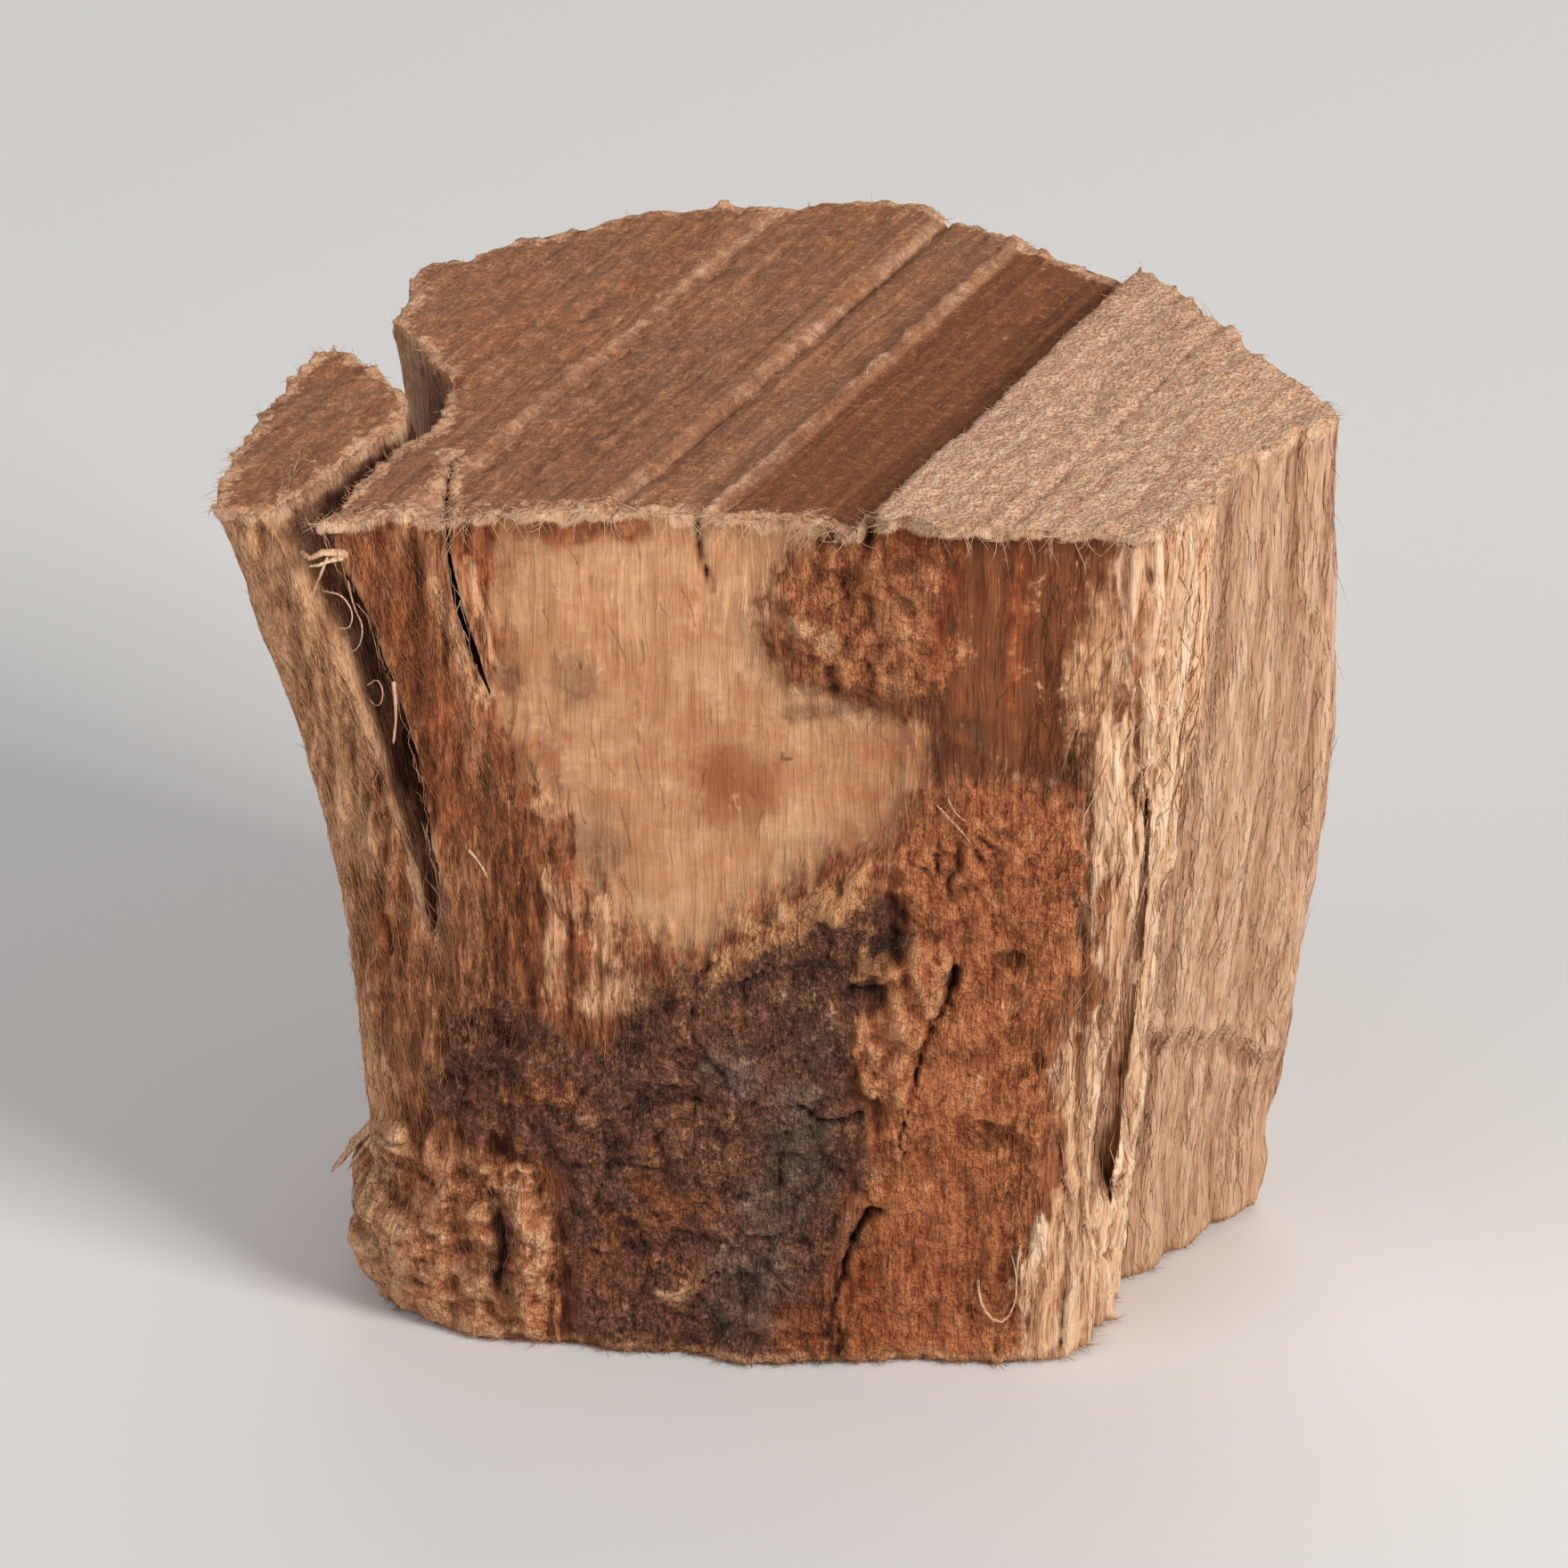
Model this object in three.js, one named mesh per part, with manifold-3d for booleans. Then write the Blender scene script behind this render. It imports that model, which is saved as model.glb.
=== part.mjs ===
// A chunk of smoking wood: a fist-sized block cross-cut from a small log and split along its grain.
//
// It stands on one sawn end, with the grain upright. The front is the outside of the log: a bare golden
// patch of sapwood between fibrous inner bark and, at the foot, a dark lumpy crust of bark. The other
// sides are split faces. A sliver has sprung away from the left side, and stays joined to the block below.
//
// Millimetres, +Z up along the grain, +Y away from the viewer. The origin is the middle of the footprint.

import * as THREE from 'three';
import { mergeVertices } from 'three/addons/utils/BufferGeometryUtils.js';
import Module from 'manifold-3d';

const wasm = await Module();
wasm.setup();

// Driving dimensions

const HEIGHT = 68; // from one sawn end to the other
const WAIST = 42; // height of the middle outline
const OVERSIZE = 4; // how far the sides run past the sawn ends before they are cut
const CORNER_ROUND = 1.6; // half the length over which a corner is rounded
const WAIST_ROUND = 7; // half the height over which the sides bend at the waist
const ROW = 2; // height of one row of facets on the sides
const WELD = 0.03; // points closer than this are one point
const CENTRE = [0.216, 29.177]; // middle of the footprint in the drawing's own x and y

// The block's corners seen from above, anticlockwise, each at the foot, the waist and the top.
// step is the width of the facets from that corner to the next one.
const CORNERS = [
  { name: 'sliver_front_left', foot: [-28.6, 11.8], waist: [-32.6, 6.1], top: [-40.4, 2.9], step: 1.4 },
  { name: 'sliver_front_right', foot: [-24.4, 6.5], waist: [-27.3, 2.8], top: [-34.6, 0.8], step: 1.4 },
  { name: 'front_left', foot: [-15.7, 3.8], waist: [-17.4, 1.2], top: [-23.5, 1.6], step: 1.4 },
  { name: 'front_middle', foot: [-1.2, 1.5], waist: [-1.7, 0.6], top: [-3.1, 1.4], step: 1.4 },
  { name: 'front_right', foot: [14.2, 0.9], waist: [15, -0.3], top: [18, -1], step: 1.4 },
  { name: 'right_front', foot: [22.4, 0.8], waist: [25.3, 0], top: [27.5, -0.9], step: 0.8 },
  { name: 'right_fold', foot: [24.3, 10.6], waist: [28.6, 8.7], top: [31.7, 9.2], step: 1.8 },
  { name: 'right_back', foot: [36.9, 25.5], waist: [41.9, 21.8], top: [41.4, 19.2], step: 3.3 },
  { name: 'back_right', foot: [24.4, 47.1], waist: [27, 47.1], top: [27, 46.2], step: 3.3 },
  { name: 'back', foot: [7.8, 57.6], waist: [8.7, 60.2], top: [8.2, 60.6], step: 3.3 },
  { name: 'back_left', foot: [-7.8, 55.8], waist: [-9.6, 57.6], top: [-9.9, 58], step: 3.3 },
  { name: 'left_back', foot: [-20.9, 47.1], waist: [-24.4, 48], top: [-27, 48], step: 2.6 },
  { name: 'left_wall', foot: [-24.4, 35.8], waist: [-27, 35.8], top: [-28.4, 36.6], step: 2 },
  { name: 'sliver_back', foot: [-27.2, 27], waist: [-31, 28.8], top: [-33.7, 32.8], step: 2.2 },
  { name: 'sliver_left', foot: [-29.2, 18.3], waist: [-33.1, 16.6], top: [-38.4, 15.7], step: 2.2 },
];

// Areas on the front, as x and height: where the bark has gone, where its dark crust is left and
// where a softer brown bark is left.
const BARE_SAPWOOD = [
  [-20.7, 72], [-20.4, 54.7], [-18.6, 49.2], [-13, 43.8], [-13, 36.9], [-11.8, 34.2],
  [-6.8, 33.5], [3.1, 39.3], [10.5, 44.4], [9.3, 47.9], [1.9, 50.6], [-1.9, 55.4],
  [0.6, 60.8], [5.3, 64.2], [5.6, 72],
];
const DARK_CRUST = [
  [-22.9, 27.4], [-17.3, 28], [-11.8, 30.1], [-9.9, 33.5], [-4.3, 34.9], [6.8, 40.7],
  [9.3, 37.6], [7.7, 32.1], [5.6, 19.2], [0.6, 6.9], [-0.6, -4], [-19.8, -4],
  [-20.4, 10.3], [-25.4, 13.7], [-27.2, 19.2],
];
const BROWN_BARK = [
  [9.3, 43.1], [13, 45.1], [18.6, 44.4], [21.7, 41], [19.2, 26.7], [19.2, 17.1],
  [14.9, -4], [-0.6, -4], [5.6, 19.2], [7.7, 32.1],
];
const FOOT_KNOBS = [
  [-31, 16.5], [-25.4, 15.8], [-20.4, 10.3], [-19.8, -4], [-33, -4],
];

// Splits that follow the bark, as x and height from end to end.
const FISSURES = [
  { line: [[12.7, 30.8], [9.3, 21.9], [9, 15.8], [4.3, 6.9], [4, -2]], wide: 1.5, deep: 1.7 },
  { line: [[7.4, 38.3], [8, 34.2], [5.3, 23.9], [6.2, 16.4]], wide: 1.4, deep: 1.2 },
  { line: [[-11.8, 34.2], [-6.2, 26.7], [-6.8, 22.6], [-3.1, 20.5], [5, 20.5]], wide: 1.4, deep: 0.9 },
];

// The groove torn down the front right corner, seen from the front: its middle line from the foot up,
// with its width at each place. Its floor lies this deep behind the front and a little to the right.
const GROOVE = [
  { x: 23.3, z: 4, wide: 0.2 },
  { x: 23.7, z: 12, wide: 1.2 },
  { x: 24.7, z: 22, wide: 1.6 },
  { x: 25.5, z: 34, wide: 1.7 },
  { x: 26, z: 46, wide: 1.1 },
  { x: 26.4, z: 56, wide: 0.2 },
];
const GROOVE_DEPTH = 7;
const GROOVE_SLANT = 0.5;

// A ragged ledge low on the right side, where a layer of fibres tore away: its height at each end.
const LEDGE = { at_fold: 22.4, at_back: 13, deep: 0.9 };

// Saw marks on the top: they run at this angle to the x axis, and the cut's height changes across them.
const SAW_ANGLE = THREE.MathUtils.degToRad(66);
const SAW_PROFILE = [ // distance across the marks, height above the mean cut
  [-52, -0.6], [-40, 0.1], [-24.6, 0.25], [-24, -0.1], [-13, 0.35], [-12.1, 0.3], [-11.5, -0.7],
  [-10.9, 0], [-5.8, -0.1], [-5.2, 0.55], [-4.6, -0.2], [0.5, -0.55], [5.2, -1.1], [5.9, 0.5],
  [15, 0.35], [15.5, 0], [16, 0.3], [30, -0.2], [44, -0.9],
];
const SAW_STEP = 5; // length of one facet along the marks

// The gap that frees the sliver, as it opens at the top: from the front, round behind the sliver,
// and out at the left. Each point is a place on its middle line, with the gap's width and its floor.
const GAP = [
  { at: [-35, -4], wide: 2.9, floor: 34 },
  { at: [-32.9, 1.6], wide: 2.5, floor: 34 },
  { at: [-30.6, 8], wide: 2.0, floor: 36 },
  { at: [-28.7, 12.6], wide: 2.2, floor: 38 },
  { at: [-26.6, 15.6], wide: 1.9, floor: 38 },
  { at: [-25.9, 21], wide: 2.3, floor: 35 },
  { at: [-26.9, 26.5], wide: 3.6, floor: 31 },
  { at: [-29.8, 32], wide: 4.6, floor: 28 },
  { at: [-34, 40], wide: 5.6, floor: 27 },
];
const GAP_LEAN = [10, 4]; // how far the gap's floor lies to the right of its mouth, at the front and at the left

// The thin check that parts the strip beside the sliver from the rest of the front.
const CHECK = [
  { at: [-23.6, -3], wide: 0.7, floor: 52 },
  { at: [-23.8, 2.9], wide: 1.0, floor: 54 },
  { at: [-24, 8.5], wide: 0.7, floor: 59 },
  { at: [-23.2, 14.5], wide: 0.5, floor: 64 },
];
const CHECK_LEAN = [3, 1];

// Splinters that stand off the block: where each starts inside it, its tip and its width.
const SPLINTERS = [
  { root: [-26.5, 13.5, 16], tip: [-33.4, 11.6, 9.6], wide: 1.6 },
];

// Noise: a smooth value from -1 to 1 at each place, the same in every run

function lattice(i, j, k) {
  let h = (Math.imul(i, 374761393) + Math.imul(j, 668265263) + Math.imul(k, 1103515245)) | 0;
  h = Math.imul(h ^ (h >>> 13), 1274126177);
  return ((h ^ (h >>> 16)) >>> 0) / 2147483647.5 - 1;
}

const ease = (t) => t * t * (3 - 2 * t);
const mix = (a, b, t) => a + (b - a) * t;
const clamp01 = (t) => Math.min(1, Math.max(0, t));

function noise(x, y, z) {
  const [i, j, k] = [Math.floor(x), Math.floor(y), Math.floor(z)];
  const [u, v, w] = [ease(x - i), ease(y - j), ease(z - k)];
  const edge = (dj, dk) => mix(lattice(i, j + dj, k + dk), lattice(i + 1, j + dj, k + dk), u);
  return mix(mix(edge(0, 0), edge(1, 0), v), mix(edge(0, 1), edge(1, 1), v), w);
}

// The outline at any height

const count = CORNERS.length;
const middleOf = ({ foot, top, waist }) => [0, 1].map((k) => (foot[k] + waist[k] * 2 + top[k]) / 4);
const cornerAt = [0]; // distance along the outline, at its middle height, of each corner
for (let i = 0; i < count; i++) {
  const [a, b] = [middleOf(CORNERS[i]), middleOf(CORNERS[(i + 1) % count])];
  cornerAt.push(cornerAt[i] + Math.hypot(b[0] - a[0], b[1] - a[1]));
}
const AROUND = cornerAt[count];
const alongAt = (name) => cornerAt[CORNERS.findIndex((c) => c.name === name)];

// A corner's place at a height, straight between its three stations.
function cornerPlace({ foot, waist, top }, z) {
  const [low, high, t] = z < WAIST ? [foot, waist, z / WAIST] : [waist, top, (z - WAIST) / (HEIGHT - WAIST)];
  return [mix(low[0], high[0], t), mix(low[1], high[1], t)];
}

function straightOutline(s, z) {
  const along = ((s % AROUND) + AROUND) % AROUND;
  let i = 0;
  while (cornerAt[i + 1] < along) i++;
  const t = (along - cornerAt[i]) / (cornerAt[i + 1] - cornerAt[i]);
  const [a, b] = [cornerPlace(CORNERS[i], z), cornerPlace(CORNERS[(i + 1) % count], z)];
  return [mix(a[0], b[0], t), mix(a[1], b[1], t)];
}

// The outline with its corners and its waist rounded, as the mean of its straight neighbours.
function outline(s, z) {
  const sum = [0, 0];
  for (const ds of [-1, -0.5, 0, 0.5, 1])
    for (const dz of [-1, 0, 1]) {
      const p = straightOutline(s + ds * CORNER_ROUND, z + dz * WAIST_ROUND);
      sum[0] += p[0] / 15;
      sum[1] += p[1] / 15;
    }
  return sum;
}

function outward(s, z) {
  const [a, b] = [outline(s - 0.8, z), outline(s + 0.8, z)];
  const length = Math.hypot(b[0] - a[0], b[1] - a[1]);
  return [(b[1] - a[1]) / length, (a[0] - b[0]) / length];
}

// Relief of the sides

// How far a point lies inside a drawn area, negative outside.
function inside(area, x, z) {
  let nearest = Infinity;
  let within = false;
  area.forEach(([x1, z1], i) => {
    const [x0, z0] = area[(i + area.length - 1) % area.length];
    nearest = Math.min(nearest, fromSegment(x, z, x0, z0, x1, z1));
    if (z0 > z !== z1 > z && x < ((x1 - x0) * (z - z0)) / (z1 - z0) + x0) within = !within;
  });
  return within ? nearest : -nearest;
}

function fromSegment(x, z, x0, z0, x1, z1) {
  const [dx, dz] = [x1 - x0, z1 - z0];
  const t = clamp01(((x - x0) * dx + (z - z0) * dz) / (dx * dx + dz * dz));
  return Math.hypot(x - x0 - dx * t, z - z0 - dz * t);
}

// 1 well inside an area and 0 outside it, with a ragged edge.
function cover(area, x, z, soft) {
  const ragged = 1.3 * noise(x / 3.4, 7, z / 3.4);
  return ease(clamp01((inside(area, x, z) + ragged) / soft + 0.5));
}

function fissureDepth(x, z) {
  let depth = 0;
  for (const { line, wide, deep } of FISSURES)
    for (let i = 1; i < line.length; i++) {
      const away = fromSegment(x, z, ...line[i - 1], ...line[i]) / wide;
      depth = Math.max(depth, deep * Math.exp(-away * away));
    }
  return depth;
}

// How far a place is on the way from one named corner to another, from 0 to 1.
function between01(s, first, last) {
  return clamp01((s - alongAt(first)) / (alongAt(last) - alongAt(first)));
}

// 1 between two named corners, falling to 0 over a millimetre or so past each.
function between(s, first, last) {
  const [a, b] = [alongAt(first), alongAt(last)];
  return ease(clamp01((s - a) / 2.4 + 0.5)) * ease(clamp01((b - s) / 2.4 + 0.5));
}

function frontRelief(x, z) {
  const bare = cover(BARE_SAPWOOD, x, z, 2.2);
  const crust = cover(DARK_CRUST, x, z, 2);
  const brown = cover(BROWN_BARK, x, z, 2);
  const knobs = cover(FOOT_KNOBS, x, z, 2.4);
  const innerBark = (1 - bare) * (0.75 + 0.3 * noise(x / 2.2, 0, z / 13));
  const plates = 0.8 * noise(x / 5.4, 11, z / 5.4) + 0.3 * noise(x / 3.3, 13, z / 3.3);
  return innerBark
    + crust * (1.4 + plates)
    + brown * (0.7 + 0.7 * plates)
    + knobs * (0.9 + 1.1 * noise(x / 4.4, 19, z / 4))
    - fissureDepth(x, z) * Math.max(crust, brown);
}

// Ribs of torn fibre, long along the grain and narrow across it.
function ribs(x, y, z, width) {
  return 1 - 2 * Math.abs(noise(x / width, y / width, z / (width * 11)));
}

function splitRelief(x, y, z, rough) {
  const swell = 0.9 * noise(x / 11, y / 11, z / 30);
  return rough * (swell + 0.55 * ribs(x, y, z, 4.2) - 0.3);
}

function relief(s, z) {
  const [x, y] = outline(s, z);
  const front = between(s, 'sliver_front_left', 'right_front');
  const corner = between(s, 'right_front', 'right_fold');
  const right = between(s, 'right_fold', 'right_back');
  const back = between(s, 'right_back', 'left_back');
  const sliver = clamp01(1 - front - corner - right - back);
  const footFlare = ease(clamp01((11.5 - z) / 5)) * ease(clamp01((z + 3) / 8));
  const ledge = mix(LEDGE.at_fold, LEDGE.at_back, between01(s, 'right_fold', 'right_back'));
  const scoop = ease(clamp01((ledge - z) / 4 + 0.5)) * ease(clamp01(z / 9));
  return front * frontRelief(x, z)
    + corner * (splitRelief(x, y, z, 0.6) + 0.5)
    + right * (splitRelief(x, y, z, 0.7) - LEDGE.deep * scoop)
    + back * splitRelief(x, y, z, 1.1)
    + sliver * splitRelief(x, y, z, 0.5)
    + 2.4 * footFlare * ease(clamp01((-23 - x) / 5));
}

// Closed surfaces from rows of points

const apart = (p, q) => Math.hypot(p[0] - q[0], p[1] - q[1], p[2] - q[2]);

// Joins rows of as many points each, lowest first and anticlockwise seen from above, and caps both ends.
function loft(rows) {
  const size = rows[0].length;
  const index = [];
  for (let r = 0; r + 1 < rows.length; r++)
    for (let c = 0; c < size; c++) {
      const [next, up] = [(c + 1) % size, rows[r + 1]];
      const [a, b] = [r * size + c, r * size + next];
      const rising = apart(rows[r][c], up[next]) <= apart(rows[r][next], up[c]);
      if (rising) index.push(a, b, b + size, a, b + size, a + size);
      else index.push(a, b, a + size, b, b + size, a + size);
    }
  const flat = (row) => row.map(([x, y]) => new THREE.Vector2(x, y));
  const last = (rows.length - 1) * size;
  for (const [a, b, c] of THREE.ShapeUtils.triangulateShape(flat(rows[0]), [])) index.push(a, c, b);
  for (const [a, b, c] of THREE.ShapeUtils.triangulateShape(flat(rows.at(-1)), []))
    index.push(last + a, last + b, last + c);
  return surface(rows.flat(2), index);
}

function surface(numbers, index) {
  const geometry = new THREE.BufferGeometry();
  geometry.setAttribute('position', new THREE.Float32BufferAttribute(numbers, 3));
  geometry.setIndex(index);
  return geometry;
}

function solid(geometry) {
  const closed = geometry.clone();
  closed.deleteAttribute('normal');
  closed.deleteAttribute('uv');
  const merged = mergeVertices(closed, 1e-4);
  return new wasm.Manifold(new wasm.Mesh({
    numProp: 3,
    vertProperties: merged.attributes.position.array,
    triVerts: new Uint32Array(merged.index.array),
  }));
}

// A solid's surface with the slivers that cutting leaves, shorter than the weld, closed up.
function welded(piece) {
  const { vertProperties, triVerts } = piece.getMesh();
  const merged = mergeVertices(surface(Array.from(vertProperties), Array.from(triVerts)), WELD);
  const index = merged.index.array;
  const kept = [];
  for (let i = 0; i < index.length; i += 3) {
    const [a, b, c] = index.slice(i, i + 3);
    if (a !== b && b !== c && c !== a) kept.push(a, b, c);
  }
  merged.setIndex(kept);
  return merged;
}

// The pieces of the build

function columnPlaces() {
  return CORNERS.flatMap(({ step }, i) => {
    const length = cornerAt[i + 1] - cornerAt[i];
    const parts = Math.max(2, Math.round(length / step));
    return Array.from({ length: parts }, (_, n) => cornerAt[i] + (length * n) / parts);
  });
}

// The split block, a little too long at both ends.
function blockSides() {
  const columns = columnPlaces();
  const levels = Math.round((HEIGHT + 2 * OVERSIZE) / ROW);
  return loft(Array.from({ length: levels + 1 }, (_, r) => {
    const z = -OVERSIZE + ((HEIGHT + 2 * OVERSIZE) * r) / levels;
    return columns.map((s) => {
      const [x, y] = outline(s, z);
      const [nx, ny] = outward(s, z);
      const out = relief(s, z);
      return [x + nx * out, y + ny * out, z];
    });
  }));
}

// What the two saw cuts leave: a slab with a flat underside and the saw's steps on its top.
function sawnSlab() {
  const [cos, sin] = [Math.cos(SAW_ANGLE), Math.sin(SAW_ANGLE)];
  const across = SAW_PROFILE.flatMap(([p, h], i) => {
    const next = SAW_PROFILE[i + 1];
    if (!next) return [[p, h]];
    const parts = Math.max(1, Math.round((next[0] - p) / 4));
    return Array.from({ length: parts }, (_, n) => [mix(p, next[0], n / parts), mix(h, next[1], n / parts)]);
  });
  const [start, end] = [-30, 80];
  const steps = Math.round((end - start) / SAW_STEP);
  const grid = Array.from({ length: steps + 1 }, (_, r) => across.map(([p, h]) => {
    const q = mix(start, end, r / steps);
    const z = HEIGHT + h + 0.25 * noise(p / 5, q / 14, 23);
    return [p * sin + q * cos, -p * cos + q * sin, z];
  }));
  const [rows, size] = [grid.length, across.length];
  const index = [];
  const under = rows * size;
  for (let r = 0; r + 1 < rows; r++)
    for (let c = 0; c + 1 < size; c++) {
      const a = r * size + c;
      index.push(a, a + 1, a + size + 1, a, a + size + 1, a + size);
    }
  const rim = [
    ...Array.from({ length: size - 1 }, (_, c) => c),
    ...Array.from({ length: rows - 1 }, (_, r) => r * size + size - 1),
    ...Array.from({ length: size - 1 }, (_, c) => (rows - 1) * size + size - 1 - c),
    ...Array.from({ length: rows - 1 }, (_, r) => (rows - 1 - r) * size),
  ];
  const points = grid.flat();
  const floor = rim.map((i) => [points[i][0], points[i][1], 0]);
  const centre = under + rim.length;
  rim.forEach((i, n) => {
    const next = (n + 1) % rim.length;
    index.push(under + n, under + next, rim[next], under + n, rim[next], i);
    index.push(centre, under + next, under + n);
  });
  const middle = [0, 30, 0];
  return surface([...points, ...floor, middle].flat(), index);
}

// A wedge-shaped gap along a line of points, open at the top and closing to nothing at its floor.
function gapBlade(line, lean) {
  const depths = [0, 0.12, 0.3, 0.5, 0.7, 0.87, 1];
  const rows = depths.toReversed().map((depth) => {
    const places = line.map(({ at, floor }, i) => {
      const part = i / (line.length - 1);
      const z = mix(HEIGHT + OVERSIZE, floor, depth);
      const slant = mix(lean[0], lean[1], part) * Math.tanh(Math.max(0, HEIGHT - z) / 20);
      return [at[0] + slant, at[1], z];
    });
    const side = (sign) => places.map(([x, y, z], i) => {
      const [a, b] = [places[Math.max(0, i - 1)], places[Math.min(line.length - 1, i + 1)]];
      const length = Math.hypot(b[0] - a[0], b[1] - a[1]);
      const half = Math.max(0.12, (line[i].wide / 2) * (1 - depth) ** 0.7);
      return [x + (sign * half * (b[1] - a[1])) / length, y - (sign * half * (b[0] - a[0])) / length, z];
    });
    return [...side(1), ...side(-1).toReversed()];
  });
  return loft(rows);
}

// The groove's own shape: a wedge with its wide side in front of the block and its edge inside it.
function grooveBlade() {
  const front = -6;
  return loft(GROOVE.map(({ x, z, wide }) => [
    [x - wide / 2, front, z],
    [x + wide / 2, front, z],
    [x + wide * 0.3 + GROOVE_SLANT, GROOVE_DEPTH, z],
    [x - wide * 0.3 + GROOVE_SLANT, GROOVE_DEPTH, z],
  ]));
}

// A splinter: four-sided, widest at its root and drawn out to a blunt tip.
function splinter({ root, tip, wide }) {
  const [from, to] = [new THREE.Vector3(...root), new THREE.Vector3(...tip)];
  const along = to.clone().sub(from);
  const shape = new THREE.CylinderGeometry(wide * 0.14, wide / 2, along.length(), 4, 2);
  shape.translate(0, along.length() / 2, 0);
  shape.applyQuaternion(new THREE.Quaternion().setFromUnitVectors(new THREE.Vector3(0, 1, 0), along.normalize()));
  shape.translate(...root);
  return shape;
}

function woodChunk() {
  let chunk = solid(blockSides());
  for (const piece of SPLINTERS) chunk = chunk.add(solid(splinter(piece)));
  chunk = chunk.subtract(solid(gapBlade(GAP, GAP_LEAN)));
  chunk = chunk.subtract(solid(gapBlade(CHECK, CHECK_LEAN)));
  chunk = chunk.subtract(solid(grooveBlade()));
  chunk = chunk.intersect(solid(sawnSlab()));
  const mesh = new THREE.Mesh(
    welded(chunk),
    new THREE.MeshStandardMaterial({ color: '#a8754f', roughness: 0.85, metalness: 0 }),
  );
  mesh.name = 'wood_chunk';
  mesh.position.set(-CENTRE[0], -CENTRE[1], 0);
  return mesh;
}

const chunk = new THREE.Group();
chunk.add(woodChunk());
export default chunk;
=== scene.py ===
# %% [markdown]
# # A chunk of smoking wood
# This is a block cut across a small log and split along its grain. Its front is the outside of the log,
# with a bare golden patch between strings of inner bark and a dark crust at the foot. The other sides are
# split, and both ends are sawn. The CAD solid has the main shapes. Here the same outline is built again
# with far finer relief, and then gets its colours, frayed edges and loose fibres.

import math
from functools import partial

import bmesh
import bpy
import numpy as np
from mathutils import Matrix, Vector
from mathutils.kdtree import KDTree


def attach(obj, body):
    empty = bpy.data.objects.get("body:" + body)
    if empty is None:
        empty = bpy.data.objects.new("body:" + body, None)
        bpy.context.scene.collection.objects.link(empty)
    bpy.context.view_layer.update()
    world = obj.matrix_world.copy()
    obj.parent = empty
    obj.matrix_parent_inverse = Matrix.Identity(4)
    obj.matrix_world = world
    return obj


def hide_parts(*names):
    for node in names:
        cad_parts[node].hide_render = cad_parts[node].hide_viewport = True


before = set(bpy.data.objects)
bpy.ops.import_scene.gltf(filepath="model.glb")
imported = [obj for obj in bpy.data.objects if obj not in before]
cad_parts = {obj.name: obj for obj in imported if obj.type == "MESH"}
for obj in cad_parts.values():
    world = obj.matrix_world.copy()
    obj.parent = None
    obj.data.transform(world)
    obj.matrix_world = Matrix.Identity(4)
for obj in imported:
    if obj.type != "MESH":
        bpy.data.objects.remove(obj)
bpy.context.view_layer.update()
MM = 0.001

# %% [markdown]
# ## The block's measures
# All lengths are millimetres, and become metres only when a mesh is made. The corners are those of the
# solid, seen from above and anticlockwise, each with its place at the foot, the waist and the top, and the
# width of one facet from that corner to the next. The sides that are seen close get the small facets.

# %% Measures
HEIGHT = 68.0
WAIST = 42.0
CORNER_ROUND = 1.6
WAIST_ROUND = 7.0
CENTRE = np.array([0.216, 29.177])
ROW = 0.36
PAST_TOP = 2.4
PAST_FOOT = 1.2
FINE, MIDDLING, COARSE, COARSEST = 0.3, 0.45, 0.75, 1.5

CORNERS = {
    "sliver_front_left": ((-28.6, 11.8), (-32.6, 6.1), (-40.4, 2.9), FINE),
    "sliver_front_right": ((-24.4, 6.5), (-27.3, 2.8), (-34.6, 0.8), FINE),
    "front_left": ((-15.7, 3.8), (-17.4, 1.2), (-23.5, 1.6), FINE),
    "front_middle": ((-1.2, 1.5), (-1.7, 0.6), (-3.1, 1.4), FINE),
    "front_right": ((14.2, 0.9), (15, -0.3), (18, -1), FINE),
    "right_front": ((22.4, 0.8), (25.3, 0), (27.5, -0.9), FINE),
    "right_fold": ((24.3, 10.6), (28.6, 8.7), (31.7, 9.2), MIDDLING),
    "right_back": ((36.9, 25.5), (41.9, 21.8), (41.4, 19.2), COARSEST),
    "back_right": ((24.4, 47.1), (27, 47.1), (27, 46.2), COARSEST),
    "back": ((7.8, 57.6), (8.7, 60.2), (8.2, 60.6), COARSEST),
    "back_left": ((-7.8, 55.8), (-9.6, 57.6), (-9.9, 58), COARSEST),
    "left_back": ((-20.9, 47.1), (-24.4, 48), (-27, 48), COARSEST),
    "left_wall": ((-24.4, 35.8), (-27, 35.8), (-28.4, 36.6), COARSE),
    "sliver_back": ((-27.2, 27), (-31, 28.8), (-33.7, 32.8), COARSE),
    "sliver_left": ((-29.2, 18.3), (-33.1, 16.6), (-38.4, 15.7), COARSE),
}
NAMES = list(CORNERS)
FOOT, MIDDLE, TOP = (np.array([CORNERS[n][k] for n in NAMES], float) for k in range(3))
MEAN = (FOOT + 2 * MIDDLE + TOP) / 4
SPANS = np.linalg.norm(np.roll(MEAN, -1, axis=0) - MEAN, axis=1)
CORNER_AT = np.concatenate([[0], np.cumsum(SPANS)])
AROUND = CORNER_AT[-1]
along_at = {name: CORNER_AT[i] for i, name in enumerate(NAMES)}
print("round the block:", round(AROUND, 1), "mm in", len(NAMES), "sides")

# %% [markdown]
# ## Noise that is the same in every run
# Wood is never regular, so most of the relief comes from smooth noise: a value from -1 to 1 at each place,
# worked out from whole numbers, with nothing left to chance. The solid uses the same noise, so the fine
# block's swells and lumps lie where the solid's do. Ridges fold the noise, which makes fibres and ribs,
# and cells give the plates and cracks of bark.

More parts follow.
